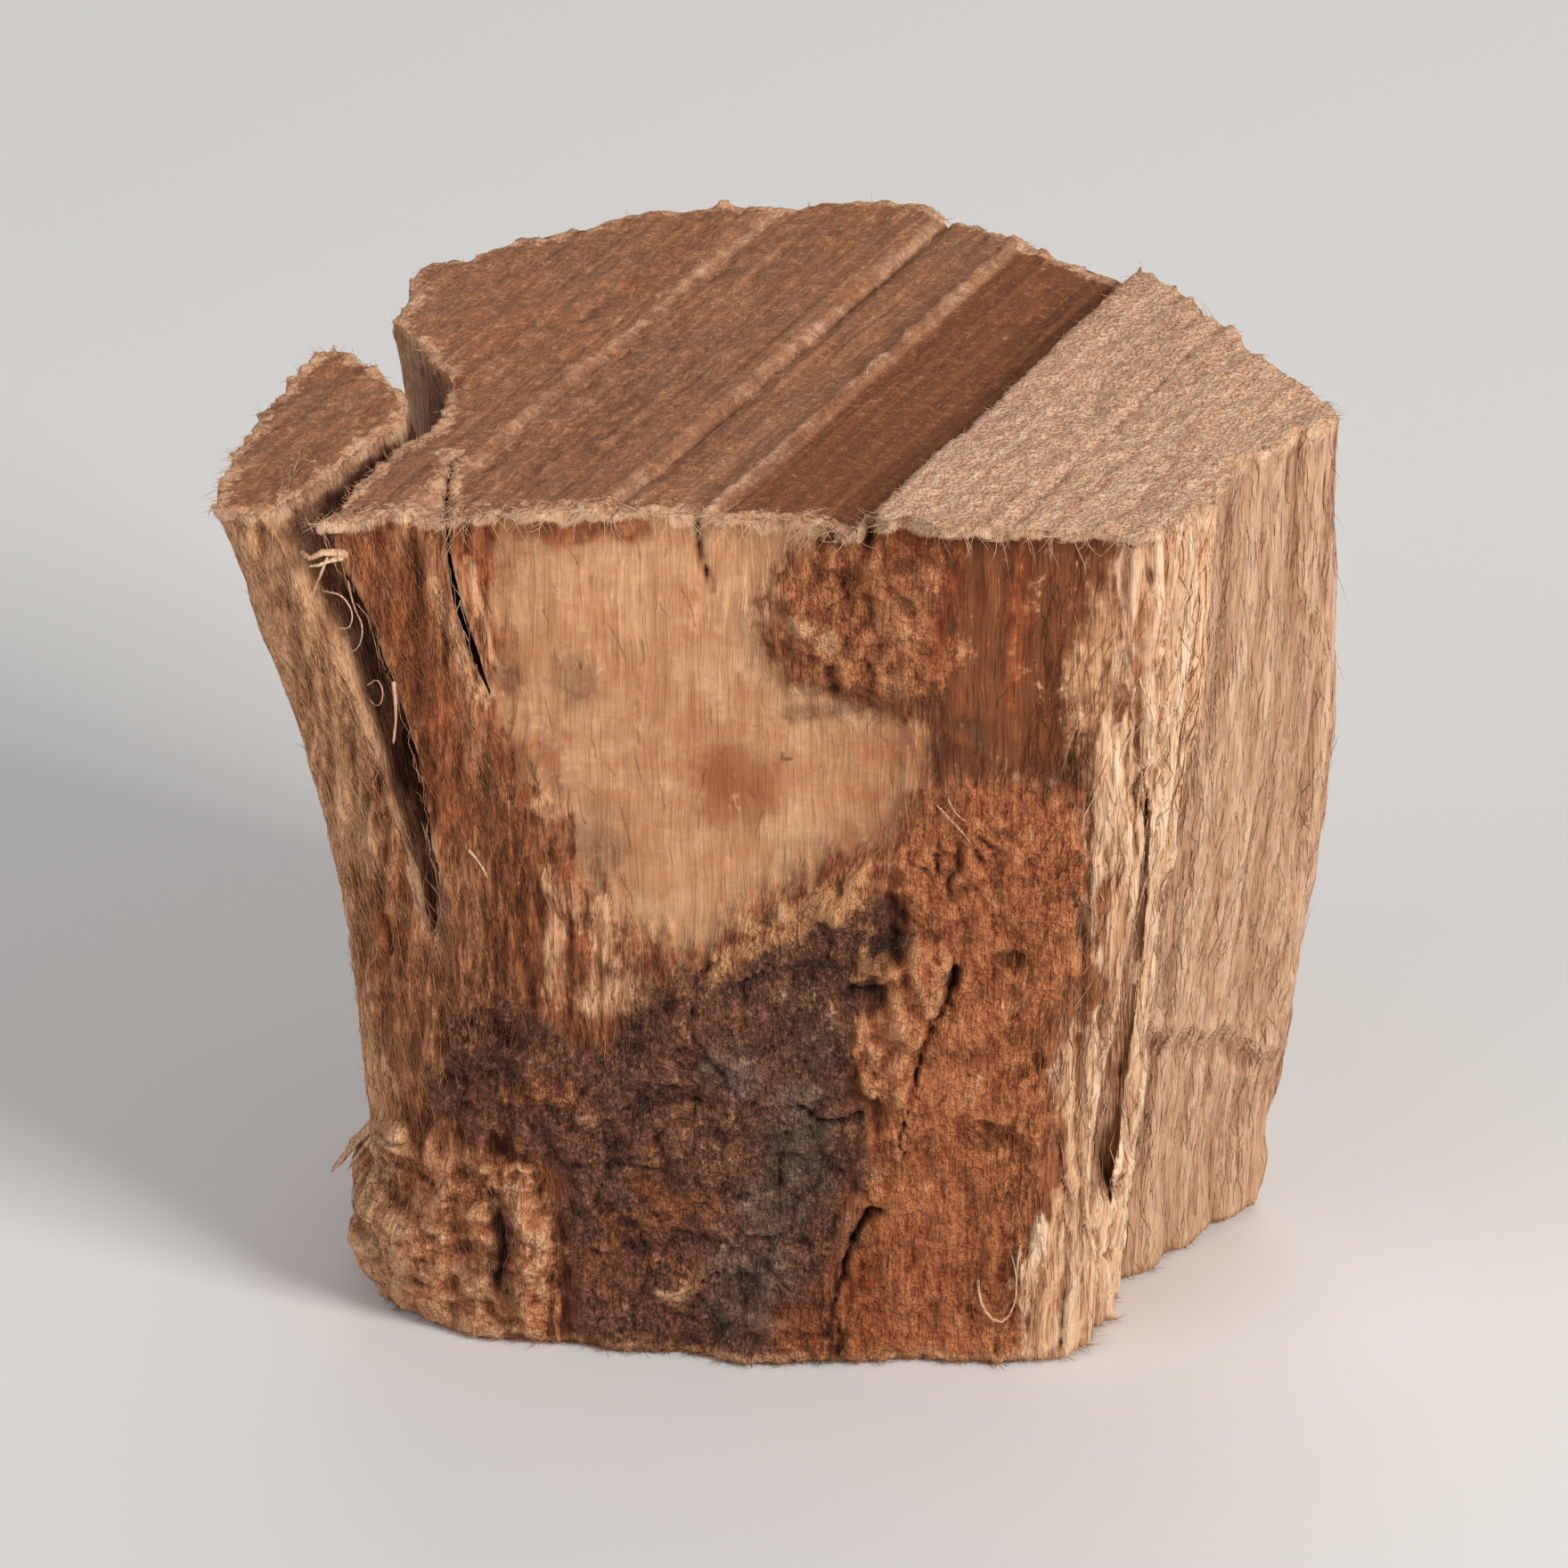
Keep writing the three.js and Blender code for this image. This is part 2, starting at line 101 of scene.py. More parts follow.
# %% Noise
def lattice(i, j, k):
    h = (i * 374761393 + j * 668265263 + k * 1103515245) & 0xFFFFFFFF
    h = h.astype(np.uint32)
    h = (h ^ (h >> np.uint32(13))) * np.uint32(1274126177)
    return (h ^ (h >> np.uint32(16))).astype(float) / 2147483647.5 - 1


def ease(t):
    t = np.clip(t, 0, 1)
    return t * t * (3 - 2 * t)


def mix(a, b, t):
    return a + (b - a) * t


def noise(x, y, z):
    x, y, z = np.broadcast_arrays(np.asarray(x, float), np.asarray(y, float), np.asarray(z, float))
    i, j, k = (np.floor(v).astype(np.int64) for v in (x, y, z))
    u, v, w = ease(x - i), ease(y - j), ease(z - k)

    def edge(dj, dk):
        return mix(lattice(i, j + dj, k + dk), lattice(i + 1, j + dj, k + dk), u)

    return mix(mix(edge(0, 0), edge(1, 0), v), mix(edge(0, 1), edge(1, 1), v), w)


def ridges(x, y, z):
    return 1 - 2 * np.abs(noise(x, y, z))


def cells(u, v, seed):
    """For each place: how far it lies inside its cell, 0 at the crack between two, and a value of its own."""
    u, v = np.broadcast_arrays(np.asarray(u, float), np.asarray(v, float))
    i, j = np.floor(u).astype(np.int64), np.floor(v).astype(np.int64)
    near = np.full(u.shape, 9.0)
    second = near.copy()
    own = np.zeros(u.shape)
    for di in (-1, 0, 1):
        for dj in (-1, 0, 1):
            ci, cj = i + di, j + dj
            at_u = ci + 0.5 + 0.45 * lattice(ci, cj, np.int64(seed) + 0 * ci)
            at_v = cj + 0.5 + 0.45 * lattice(ci, cj, np.int64(seed + 1) + 0 * ci)
            away = np.hypot(u - at_u, v - at_v)
            value = lattice(ci, cj, np.int64(seed + 2) + 0 * ci)
            closer = away < near
            second = np.where(closer, near, np.minimum(second, away))
            own = np.where(closer, value, own)
            near = np.where(closer, away, near)
    return second - near, own


print("noise at two places:", noise(np.array([1.3, 5.2]), 2.7, 3.1).round(4))


# %% [markdown]
# ## The outline at any height
# The split sides are not straight: the sliver leans out, and the right side leans in towards the foot.
# So each corner moves with height between its three places. Taking the mean of nearby points then rounds
# the corners and the bend at the waist, as weather and handling have done on the real piece.

# %% Outline
def corner_places(which, z):
    low = z < WAIST
    a = np.where(low[..., None], FOOT[which], MIDDLE[which])
    b = np.where(low[..., None], MIDDLE[which], TOP[which])
    t = np.where(low, z / WAIST, (z - WAIST) / (HEIGHT - WAIST))
    return mix(a, b, t[..., None])


def straight_outline(s, z):
    along = np.mod(s, AROUND)
    i = np.clip(np.searchsorted(CORNER_AT, along, side="left") - 1, 0, len(NAMES) - 1)
    t = (along - CORNER_AT[i]) / SPANS[i]
    return mix(corner_places(i, z), corner_places((i + 1) % len(NAMES), z), t[..., None])


def outline(s, z):
    total = 0
    for ds in (-1, -0.5, 0, 0.5, 1):
        for dz in (-1, 0, 1):
            total = total + straight_outline(s + ds * CORNER_ROUND, z + dz * WAIST_ROUND) / 15
    return total


def outward(s, z):
    step = outline(s + 0.8, z) - outline(s - 0.8, z)
    step /= np.linalg.norm(step, axis=-1, keepdims=True)
    return np.stack([step[..., 1], -step[..., 0]], axis=-1)


# %% [markdown]
# ## Where bark is left
# Bark comes off in ragged patches. Each patch is drawn by a few points on the front, as a place across and
# a height, and its edge is then made ragged by noise that is longer along the grain than across it, because
# bark tears in tongues.

# %% Patches on the front
BARE_SAPWOOD = [
    (-20.6, 72), (-20.4, 56), (-19.4, 52), (-18.2, 48.4), (-16.4, 44.6), (-14.6, 41.5), (-14, 38.5),
    (-14.2, 36),
    (-12, 34.2), (-7.8, 34.2), (-5.6, 33.2), (-4, 34.6), (-1.4, 37.5), (2.1, 39.4), (6.1, 41.2), (7.6, 41.6),
    (9.2, 44.5), (10, 49), (9.8, 52.6), (5.5, 53.2), (1, 54.5), (-1.2, 57), (-2.6, 59.5), (-0.9, 62),
    (1.6, 64.5), (4.6, 66.5), (5.4, 72),
]
DARK_CRUST = [
    (-23.3, 27), (-18.2, 28.2), (-13.8, 26.5), (-11.8, 26.9), (-10.2, 28.3), (-8.6, 31), (-5.9, 31.4),
    (-4.4, 33.3), (-2.7, 35.9), (0.1, 37.3), (3.3, 39), (6.1, 40.8), (7.7, 38.1), (9.3, 34.2), (7.7, 33.3),
    (7.3, 30.6), (5.7, 28.9), (5.5, 25.8), (5.7, 22.7), (6.9, 20.9), (6.1, 17.9), (5.7, 14.3), (5.1, 10.8),
    (4.1, 7.3), (4.9, -4), (-16, -4), (-15.8, 4.9), (-15.4, 8.4), (-16.6, 11.5), (-17.4, 15.5), (-25.2, 19.8),
]
BROWN_BARK = [
    (7.7, 41.6), (9.5, 44.5), (10, 46.6), (15, 47.4), (21.5, 46), (22.2, 43.4), (22.6, 36), (22.9, 33.7),
    (20.9, 29.3), (18.9, 27.5), (19.6, 22.7), (20, 17.9), (18.9, 11.7), (17.9, 8), (18.4, 1.5), (18.4, -4),
    (4.9, -4), (4.1, 7.3), (5.1, 10.8), (5.7, 14.3), (6.1, 17.9), (5.7, 22.7), (5.5, 25.8), (7.3, 30.6),
    (9.3, 34.2), (7.7, 38.1),
]
FOOT_KNOBS = [
    (-36, 17), (-28.9, 15.5), (-24.1, 15.9), (-20.6, 16.8), (-17.4, 15.5), (-16.6, 11.5), (-15.4, 8.4),
    (-15.8, 4.9), (-16, -4), (-36, -4),
]
KNOBBLY_BAST = [
    (-0.5, 63.1), (2.5, 67.2), (5.2, 69.5), (5.4, 72), (12, 72), (12, 64.3), (11.6, 55.9), (10.5, 54.7),
    (5.5, 53.8), (2.9, 56.2), (-0.2, 58.4),
]
PALE_STRIP = [
    (40, 76), (25, 72), (24.9, 62), (24, 57), (23.4, 51.8), (21.8, 49.2), (22.2, 43.4), (22.6, 38),
    (22.9, 33.7), (20.9, 29.3), (19.4, 27.5), (19.6, 22.7), (20, 17.9), (18.9, 11.7), (17.9, 8),
    (18.4, 1.5), (18.4, -4), (40, -4),
]
TAN_RIDGE = [
    (7.5, 33.5), (9.3, 33.1), (10.1, 34.6), (12.5, 34.2), (12.1, 31.5), (10.9, 28), (9.7, 24.9), (8.9, 21.8),
    (8.7, 17.9), (8.1, 18.5), (6.9, 20.9), (5.7, 22.7), (5.5, 25.8), (5.9, 28.4), (7.3, 30.6),
]
BARK_CRACKS = [
    ([(12.5, 32.6), (12.2, 30.4), (11.4, 28.6), (10.4, 26.2)], 0.26, 1.7),
    ([(10.4, 26.2), (9.6, 22.7)], 0.16, 1.2),
    ([(9.6, 22.7), (9.2, 20.5), (8.8, 17)], 0.11, 0.8),
    ([(6.9, 12.6), (5.8, 10.8), (4.8, 8.6), (4.2, 6.4)], 0.26, 1.4),
    ([(4.2, 6.4), (4.2, 4.6), (4.8, 1.5), (4.9, -2)], 0.13, 0.8),
    ([(12, 32.9), (12.7, 29.1)], 0.18, 0.6),
    ([(9.5, 20.9), (11, 21.2), (12.5, 22.7)], 0.16, 0.5),
    ([(-1.1, 21.4), (-3.5, 20.5), (-5.7, 21.4), (-9.1, 21.8)], 0.16, 0.6),
    ([(-1.1, 21.4), (0.9, 21.4), (2.9, 20.3), (5.7, 20.5)], 0.2, 0.8),
    ([(-0.7, 20.9), (0.5, 19.2), (-0.1, 16.1), (0.1, 12.1)], 0.14, 0.5),
    ([(-1.1, 21.4), (-2.3, 22.3), (-5, 24.5)], 0.16, 0.6),
    ([(-4.5, 33.1), (-6.3, 30.6), (-6.1, 28), (-5.1, 25.3)], 0.18, 0.6),
    ([(-17, 21), (-13.5, 20.2), (-9.1, 21.8)], 0.16, 0.4),
    ([(-20.2, 11.6), (-20, 8.4), (-20.6, 3.6)], 0.35, 0.6),
    ([(-29.5, 15.2), (-24.1, 15.7), (-20.6, 16.6), (-17.2, 15.2)], 0.3, 0.6),
    ([(-16.8, 12), (-15.6, 8.4), (-16, 4.5)], 0.3, 0.6),
    ([(4.4, 64.7), (4.8, 63), (5, 61.4)], 0.16, 0.6),
    ([(7, 58.9), (7.8, 56.4)], 0.18, 0.6),
    ([(6.3, 69), (6.6, 66.4)], 0.35, 1.2),
]
WOOD_CRACKS = [
    ([(-6.2, 68.8), (-5.7, 66), (-5.1, 61.8)], 0.15, 0.7),
    ([(-28.2, 34.8), (-27.9, 31.8)], 0.2, 0.9),
    ([(25.6, 52.6), (25.9, 44), (25.9, 35)], 0.22, 0.9),
    ([(23.1, 12.6), (23.6, 8.5), (24.1, 4.8)], 0.24, 0.8),
    ([(24.2, 12.4), (24.7, 8.6), (25.2, 5.4)], 0.22, 0.7),
    ([(20.1, 19), (20.9, 14.3), (21.1, 9), (20.7, 1)], 0.24, 0.8),
    ([(27.3, 62), (26.4, 54), (27, 47)], 0.2, 0.6),
]
HOLLOWS = [
    (8.9, 37.6, 1.0, 1.3, 0.55), (7.9, 35.2, 1.2, 1.8, 0.6), (6.1, 31.2, 1.7, 0.5, 0.7),
    (16.5, 33.2, 1.4, 0.9, 0.5),
    (15.3, 19.2, 0.9, 0.9, 0.4), (18, 24.5, 0.8, 1.2, 0.35), (-12, 15.5, 1.6, 1.2, 0.3),
]
BUMPS = [
    (1.6, 59.4, 1.5, 1.3, 0.6), (2.7, 58.4, 1.1, 1.2, 0.5), (9, 26, 1.6, 5, 0.5), (9.4, 33, 1.7, 1.2, 0.5),
    (13.6, 41.5, 0.9, 1.8, 0.5),
    (-8.4, 5.4, 1.5, 0.8, 0.3), (-18, 10, 1.1, 1.2, 0.5), (-27.3, 46, 1.5, 2.3, 0.9),
    (-23.5, 11.5, 2.4, 2.4, 0.6),
    (-18, 6.2, 1.6, 2.6, 0.7), (4.6, 67.6, 0.9, 1.2, 0.9), (-20.6, 21.6, 1.8, 1.2, 0.3),
    (-14.2, 55.2, 1.3, 1.6, 0.35),
]


def from_segment(x, z, start, end):
    dx, dz = end[0] - start[0], end[1] - start[1]
    t = np.clip(((x - start[0]) * dx + (z - start[1]) * dz) / (dx * dx + dz * dz), 0, 1)
    return np.hypot(x - start[0] - dx * t, z - start[1] - dz * t)


def inside(area, x, z):
    nearest = np.full(np.shape(x), np.inf)
    within = np.zeros(np.shape(x), bool)
    for (x1, z1), (x0, z0) in zip(area, area[-1:] + area[:-1]):
        nearest = np.minimum(nearest, from_segment(x, z, (x0, z0), (x1, z1)))
        crosses = (z0 > z) != (z1 > z)
        if z1 != z0:
            within ^= crosses & (x < (x1 - x0) * (z - z0) / (z1 - z0) + x0)
    return np.where(within, nearest, -nearest)


def cover(area, x, z, soft, torn):
    """1 in an area, 0 outside it, with a ragged edge and torn tongues along the grain."""
    ragged = 1.3 * noise(x / 3.4, 7, z / 3.4)
    tongues = torn * (0.9 * noise(x / 0.9, 41, z / 5) + 0.6 * noise(x / 0.45, 43, z / 1.6))
    return ease((inside(area, x, z) + ragged + tongues) / soft + 0.5)


def astray(x, z, seed, much=1.0):
    """Moves places a little, so that nothing drawn from listed points keeps a smooth edge."""
    shifts = []
    for first in (seed, seed + 3):
        swings = ((0.55, 2.1), (0.32, 0.9), (0.14, 0.45))
        shifts.append(sum(far * noise(x / size, first + i, z / size) for i, (far, size) in enumerate(swings)))
    return x + much * shifts[0], z + much * shifts[1]


def cracks_along(lines, x, z, much):
    """How much painted shade and how much depth lie near lines on the front: 0 away, most in their middle."""
    shade, depth = np.zeros(np.shape(x)), np.zeros(np.shape(x))
    at_x, at_z = astray(x, z, 170, much)
    open_here = np.clip(0.8 + 0.7 * noise(x / 3.6, 176, z / 3.6), 0.2, 1.2)
    for line, wide, deep in lines:
        for start, end in zip(line, line[1:]):
            away = from_segment(at_x, at_z, start, end) / (wide * (0.3 + 0.7 * open_here))
            near = np.exp(-1.1 * away - 0.12 * away**2) * open_here
            shade = np.maximum(shade, near)
            depth = np.maximum(depth, deep * near)
    return shade, depth


# %% [markdown]
# ## Relief of the sides
# Each side has its own surface. The front has bark in layers: the bare sapwood lies lowest, the stringy
# inner bark a little above it, and the crust stands up to 2 mm proud, broken into plates. The split sides
# are bundles of fibre, so their relief is folded noise drawn out along the grain. The masks that steer the
# relief are kept, because the colours follow the same layers.

# %% Relief
LEDGE_AT_FOLD, LEDGE_AT_BACK, LEDGE_DEEP = 22.4, 13.0, 0.8
LAYERS_OF_BARK = ("bare", "crust", "brown", "knobs", "bast", "lip")


def between(s, first, last):
    a, b = along_at[first], along_at[last]
    return ease((s - a) / 2.4 + 0.5) * ease((b - s) / 2.4 + 0.5)


def bark_layers(x, z):
    """The mask of each layer on the front."""
    masks = {
        "bare": cover(BARE_SAPWOOD, x, z, 4.4, 1.3),
        "crust": cover(DARK_CRUST, x, z, 3.6, 1.2),
        "brown": cover(BROWN_BARK, x, z, 3.0, 1.0),
        "knobs": cover(FOOT_KNOBS, x, z, 2.0, 0.5),
        "bast": cover(KNOBBLY_BAST, x, z, 2.6, 1.0),
        "strip": cover(PALE_STRIP, x, z, 2.8, 1.6),
        "ridge": cover(TAN_RIDGE, x, z, 1.2, 0.6),
    }
    from_edge = inside(DARK_CRUST, x, z) - 1.1 + 0.6 * noise(x / 1.5, 33, z / 1.5)
    masks["lip"] = np.exp(
        -((from_edge / 1.3) ** 2)
    ) * ease((z - 30) / 3) * ease((7.4 - x) / 1.5) * ease((x + 12) / 2)
    for name in (*LAYERS_OF_BARK, "ridge"):
        masks[name] = masks[name] * (1 - masks["strip"])
    return masks


def oval(x, z, at_x, at_z, wide, high):
    return np.hypot((x - at_x) / wide, (z - at_z) / high)


def lumps_of(table, x, z):
    """How high a list of soft round lumps stands at each place."""
    x, z = astray(x, z, 150, 1.3)
    total = np.zeros(np.shape(x))
    for at_x, at_z, wide, high, height in table:
        total = total + height * ease(1.3 - oval(x, z, at_x, at_z, wide, high))
    return total


def front_relief(x, z, masks):
    bare, crust, brown, knobs, bast, lip = (masks[name] for name in LAYERS_OF_BARK)
    stray = 0.6 * noise(x / 6, 31, z / 9) + 0.2 * noise(x / 1.8, 32, z / 3)
    woolly = ease((-8 - x) / 8) * (1 - bare)
    cords = 0.22 * ridges(x / 1.6 + stray, 51, z / 16) + 0.18 * ridges(x / 0.85 + stray, 53, z / 9)
    hairy = 0.13 * ridges(x / 0.6 + stray, 55, z / 4.5) + 0.1 * noise(x / 0.5, 58, z / 1.6)
    flakes = 0.2 * noise(x / 1.2, 57, z / 2.6)
    fibre = (cords + hairy + flakes) * (0.25 + 0.75 * woolly)
    bend = 1.2 * noise(x / 4, 61, z / 4)
    swell = 0.6 * noise(x / 5.4, 11, z / 5.4) + 0.4 * noise(x / 3.1, 13, z / 3.1)
    edge, own = cells((x + bend) / 3.4, (z + bend) / 3.6, 70)
    plates = 0.24 * own - 0.24 * np.exp(-((edge / 0.06) ** 2))
    lumps = 0.26 * noise(x / 1.8, 65, z / 2.0) + 0.2 * noise(x / 0.9, 66, z / 1.0)
    grit = 0.14 * noise(x / 0.62, 63, z / 0.62) + 0.1 * noise(x / 0.45, 64, z / 0.45)
    warp_x, warp_z = astray(x, z, 184, 1.2)
    slant = (warp_x + 0.35 * warp_z + 0.09 * (warp_z - 44) ** 2 + 1.1 * noise(x / 3, 78, z / 3)) / 1.35
    curls = np.cos(2 * math.pi * slant)
    curl_area = ease(1.7 - oval(x, z, 12.9, 42.6, 4.4, 3.1)) * np.clip(
        0.6 + noise(x / 2, 79, z / 2.5), 0.1, 1
    )
    crevice = ease((-0.5 - curls) / 0.45) * curl_area * np.clip(0.6 + noise(x / 1.2, 80, z / 1.6), 0, 1)
    curled = 0.22 * curls * curl_area - 0.22 * crevice
    drawn = 0.34 * noise(x / 1.3, 75, z / 3.2) + 0.2 * noise(x / 0.7, 76, z / 1.5)
    shade, depth = cracks_along(BARK_CRACKS, x, z, 0.75)
    wood_shade, wood_depth = cracks_along(WOOD_CRACKS, x, z, 0.45)
    bent_x, bent_z = astray(x, z, 180, 1.3)
    knob_edge, knob_own = cells((bent_x + bend) / 3.3, (bent_z - bend) / 2.9, 90)
    knobby = 0.3 * ease(knob_edge * 1.3) + 0.4 * knob_own + 0.5 * noise(x / 4.4, 19, z / 4) + 0.3 * drawn
    bast_edge, bast_own = cells((bent_x + 0.7 * bend) / 2, (bent_z - 0.7 * bend) / 3.2, 96)
    bast_lumps = 0.26 * ease(bast_edge * 1.4) + 0.24 * bast_own + 0.5 * drawn + 0.3 * lumps + 0.3 * swell
    hollows = lumps_of(HOLLOWS, x, z)
    bumps = lumps_of(BUMPS, x, z)
    gentle = 0.16 * noise(x / 7, 67, z / 12) + 0.05 * noise(x / 1.1, 68, z / 9)
    gentle = gentle + 0.03 * noise(x / 0.6, 69, z / 0.8)
    rough = np.clip(crust + brown + knobs + bast + lip, 0, 1)
    height = (
        0.9 * (1 - bare)
        + (1 - bare) * fibre
        + bare * gentle
        + bast * (bast_lumps - 0.1)
        + crust * (0.75 + swell + plates + lumps + grit - 0.7 * fibre)
        + brown * (0.4 + 0.7 * swell + 0.6 * drawn + 0.35 * lumps + 0.5 * grit + 0.5 * plates + curled)
        + knobs * (0.8 + knobby + lumps + grit)
        + masks["ridge"] * (0.7 + 0.8 * drawn + 0.5 * lumps + 1.2 * grit)
        + lip * (0.5 + 1.2 * drawn + 0.4 * lumps)
        + bumps
        - hollows
        - depth * rough
        - wood_depth
    )
    # The crack mask is painted shade where the relief sinks: it darkens the seams between crust plates and
    # knobs, the crevices of the curled bark, the cracks and the hollows.
    seams = crust * 0.5 * np.exp(-((edge / 0.06) ** 2)) * ease(0.3 + noise(x / 4, 77, z / 4))
    seams = np.maximum(seams, 0.55 * crevice * brown)
    bast_seams = bast * 0.35 * np.exp(-((bast_edge / 0.09) ** 2))
    knob_seams = knobs * 0.45 * np.exp(-((knob_edge / 0.08) ** 2))
    dark = [seams, bast_seams, knob_seams, 0.8 * shade * rough, wood_shade, 0.5 * np.minimum(hollows, 1)]
    masks["crack"] = np.clip(np.maximum.reduce(dark), 0, 1)
    return height


def ribs(x, y, z, width):
    return ridges(x / width, y / width, z / (width * 11))


def strands_of(x, y, z, wide, long):
    """Layers of split fibre: each strand is a flat step with torn sides, not a round ridge."""
    stray = 0.35 * noise(x / 3, y / 3, z / 11)
    value = noise((x + stray) / wide, (y + stray) / wide, z / long)
    return ease((value + 0.12) / 0.24)


def split_relief(x, y, z, rough, fibre):
    swell = 0.9 * noise(x / 11, y / 11, z / 30)
    coarse = rough * (swell + 0.5 * ribs(x, y, z, 4.2) - 0.3)
    layers = 0.42 * strands_of(x, y, z, 2.1, 26) + 0.3 * strands_of(x + 30, y, z, 1.15, 20)
    layers = layers + 0.2 * strands_of(x, y + 30, z, 0.65, 13)
    fine = 0.12 * ribs(x + 40, y, z, 0.8) + 0.07 * noise(x / 0.5, y / 0.5, z / 2.2)
    return coarse + fibre * (layers + fine - 0.45)


def side_relief(s, z):
    place = outline(s, z)
    x, y = place[..., 0], place[..., 1]
    front = between(s, "sliver_front_left", "right_front")
    corner = between(s, "right_front", "right_fold")
    right = between(s, "right_fold", "right_back")
    back = between(s, "right_back", "left_back")
    sliver = np.clip(1 - front - corner - right - back, 0, 1)
    masks = bark_layers(x, z)
    bark = front_relief(x, z, masks)
    strip = masks["strip"]
    way = np.clip((s - along_at["right_fold"]) / (along_at["right_back"] - along_at["right_fold"]), 0, 1)
    ledge = mix(LEDGE_AT_FOLD, LEDGE_AT_BACK, way) + 1.3 * noise(x / 1.6, 95, z / 9)
    scoop = ease((ledge - z) / 2.6 + 0.5) * ease(z / 9)
    foot_flare = ease((11.5 - z) / 5) * ease((z + 3) / 8)
    _, torn = cracks_along(WOOD_CRACKS, x, z, 0.45)
    shards = ease((noise((s + 0.6 * noise(s / 3, 99, z / 9)) / 3.1, 100, z / 34) - 0.1) / 0.1)
    wave = 0.5 * np.sin(z / 1.9 + 1.5 * noise(x / 3, 98, z / 6)) * ease((15 - z) / 6)
    peeled = split_relief(x + wave, y, z, 0.25, 1.5) + 0.45 + 0.8 * ease((23 - x) / 5) * ease((24 - z) / 8)
    height = (
        front * mix(bark, peeled - torn, strip)
        + corner * (split_relief(x, y, z, 0.5, 1.7) + 0.6 - torn)
        + right * (split_relief(x, y, z, 0.45, 0.55) - 0.5 * shards - LEDGE_DEEP * scoop)
        + back * split_relief(x, y, z, 1.1, 1.2)
        + sliver * split_relief(x, y, z, 0.4, 0.8)
        + 2.4 * foot_flare * ease((-23 - x) / 5)
    )
    frayed = np.abs(noise(x / 1.3, y / 1.3, z / 2)) + 0.6 * np.abs(noise(x / 0.6, y / 0.6, z / 0.9))
    overhang = ease((z - HEIGHT + 1.3) / 0.9) * np.clip(0.25 + 1.3 * noise(x / 1.9, y / 1.9, 97), 0, 1)
    overhang = overhang * np.clip(0.3 + front + corner, 0, 1)
    notch = 0.6 * np.exp(-(((x - 6.5) / 0.6) ** 2)) * front * ease((z - 65) / 2)
    height = height + 0.5 * frayed * ease((z - HEIGHT + 2.2) / 2) + 0.8 * overhang * (1 - notch) - 0.9 * notch
    torn_back = between(s + 2.6 * noise(s / 1.3, 131, z / 15), "right_back", "left_back")
    left_side = np.clip(1 - front - corner - right - torn_back, 0, 1)
    masks["split"] = np.clip(front * strip + corner + right + torn_back, 0, 1)
    masks["old"] = np.clip(left_side + front * ease((-20.5 - x) / 1.5), 0, 1)
    masks["knobs"] = np.maximum(masks["knobs"] * front, sliver * ease((12 - z) / 4) * ease((24 - y) / 9))
    masks["behind"] = torn_back
    masks["quiet"] = np.clip(0.75 * torn_back + 0.5 * left_side * ease((y - 11) / 6), 0, 1)
    masks["smooth"] = front * (1 - masks["bare"]) * ease((x - 9.5) / 3) * ease((z - 46.5) / 4)
    for name in ("bare", "crust", "brown", "crack", "bast", "lip", "ridge"):
        masks[name] = masks[name] * front
    masks.update(face=right, front=front)
    return height, masks


# %% [markdown]
# ## The block's sides as a mesh
# Columns stand round the outline and rows climb from below the foot to above the top. Each point moves out
# along the outline's own outward direction by the relief. The block is a little too tall at both ends,
# because the saw cuts come later, as they do in the yard.

# %% Sides
def column_places():
    places = []
    for i, name in enumerate(NAMES):
        parts = max(2, round(SPANS[i] / CORNERS[name][3]))
        places.append(CORNER_AT[i] + SPANS[i] * np.arange(parts) / parts)
    return np.concatenate(places)


def closed_loft(name, rows):
    """A closed mesh from rows of as many points, lowest first and anticlockwise seen from above."""
    height, size = rows.shape[:2]
    lower = np.arange(height - 1)[:, None] * size
    a = lower + np.arange(size)[None, :]
    b = lower + (np.arange(size)[None, :] + 1) % size
    sides = np.stack([a, b, b + size, a + size], axis=-1).reshape(-1, 4).tolist()
    caps = [list(range(size))[::-1], list(range((height - 1) * size, height * size))]
    return make_mesh(name, rows.reshape(-1, 3), sides + caps)


def make_mesh(name, points, faces):
    """A mesh object from points in the block's own millimetres."""
    placed = (np.asarray(points, float) - [*CENTRE, 0]) * MM
    mesh = bpy.data.meshes.new(name)
    mesh.from_pydata(placed.tolist(), [], faces)
    mesh.validate()
    return place_object(name, mesh)


def place_object(name, data):
    made = bpy.data.objects.new(name, data)
    bpy.context.collection.objects.link(made)
    return made


def blurred(values, reach):
    """The mean of each place's neighbours in the grid, round the block and up and down."""
    wide = np.pad(np.pad(values, ((reach, reach), (0, 0)), "edge"), ((0, 0), (reach, reach)), "wrap")
    total = np.cumsum(np.pad(wide, ((1, 0), (0, 0))), axis=0)
    rows = (total[2 * reach + 1 :] - total[: -2 * reach - 1]) / (2 * reach + 1)
    total = np.cumsum(np.pad(rows, ((0, 0), (1, 0))), axis=1)
    return (total[:, 2 * reach + 1 :] - total[:, : -2 * reach - 1]) / (2 * reach + 1)


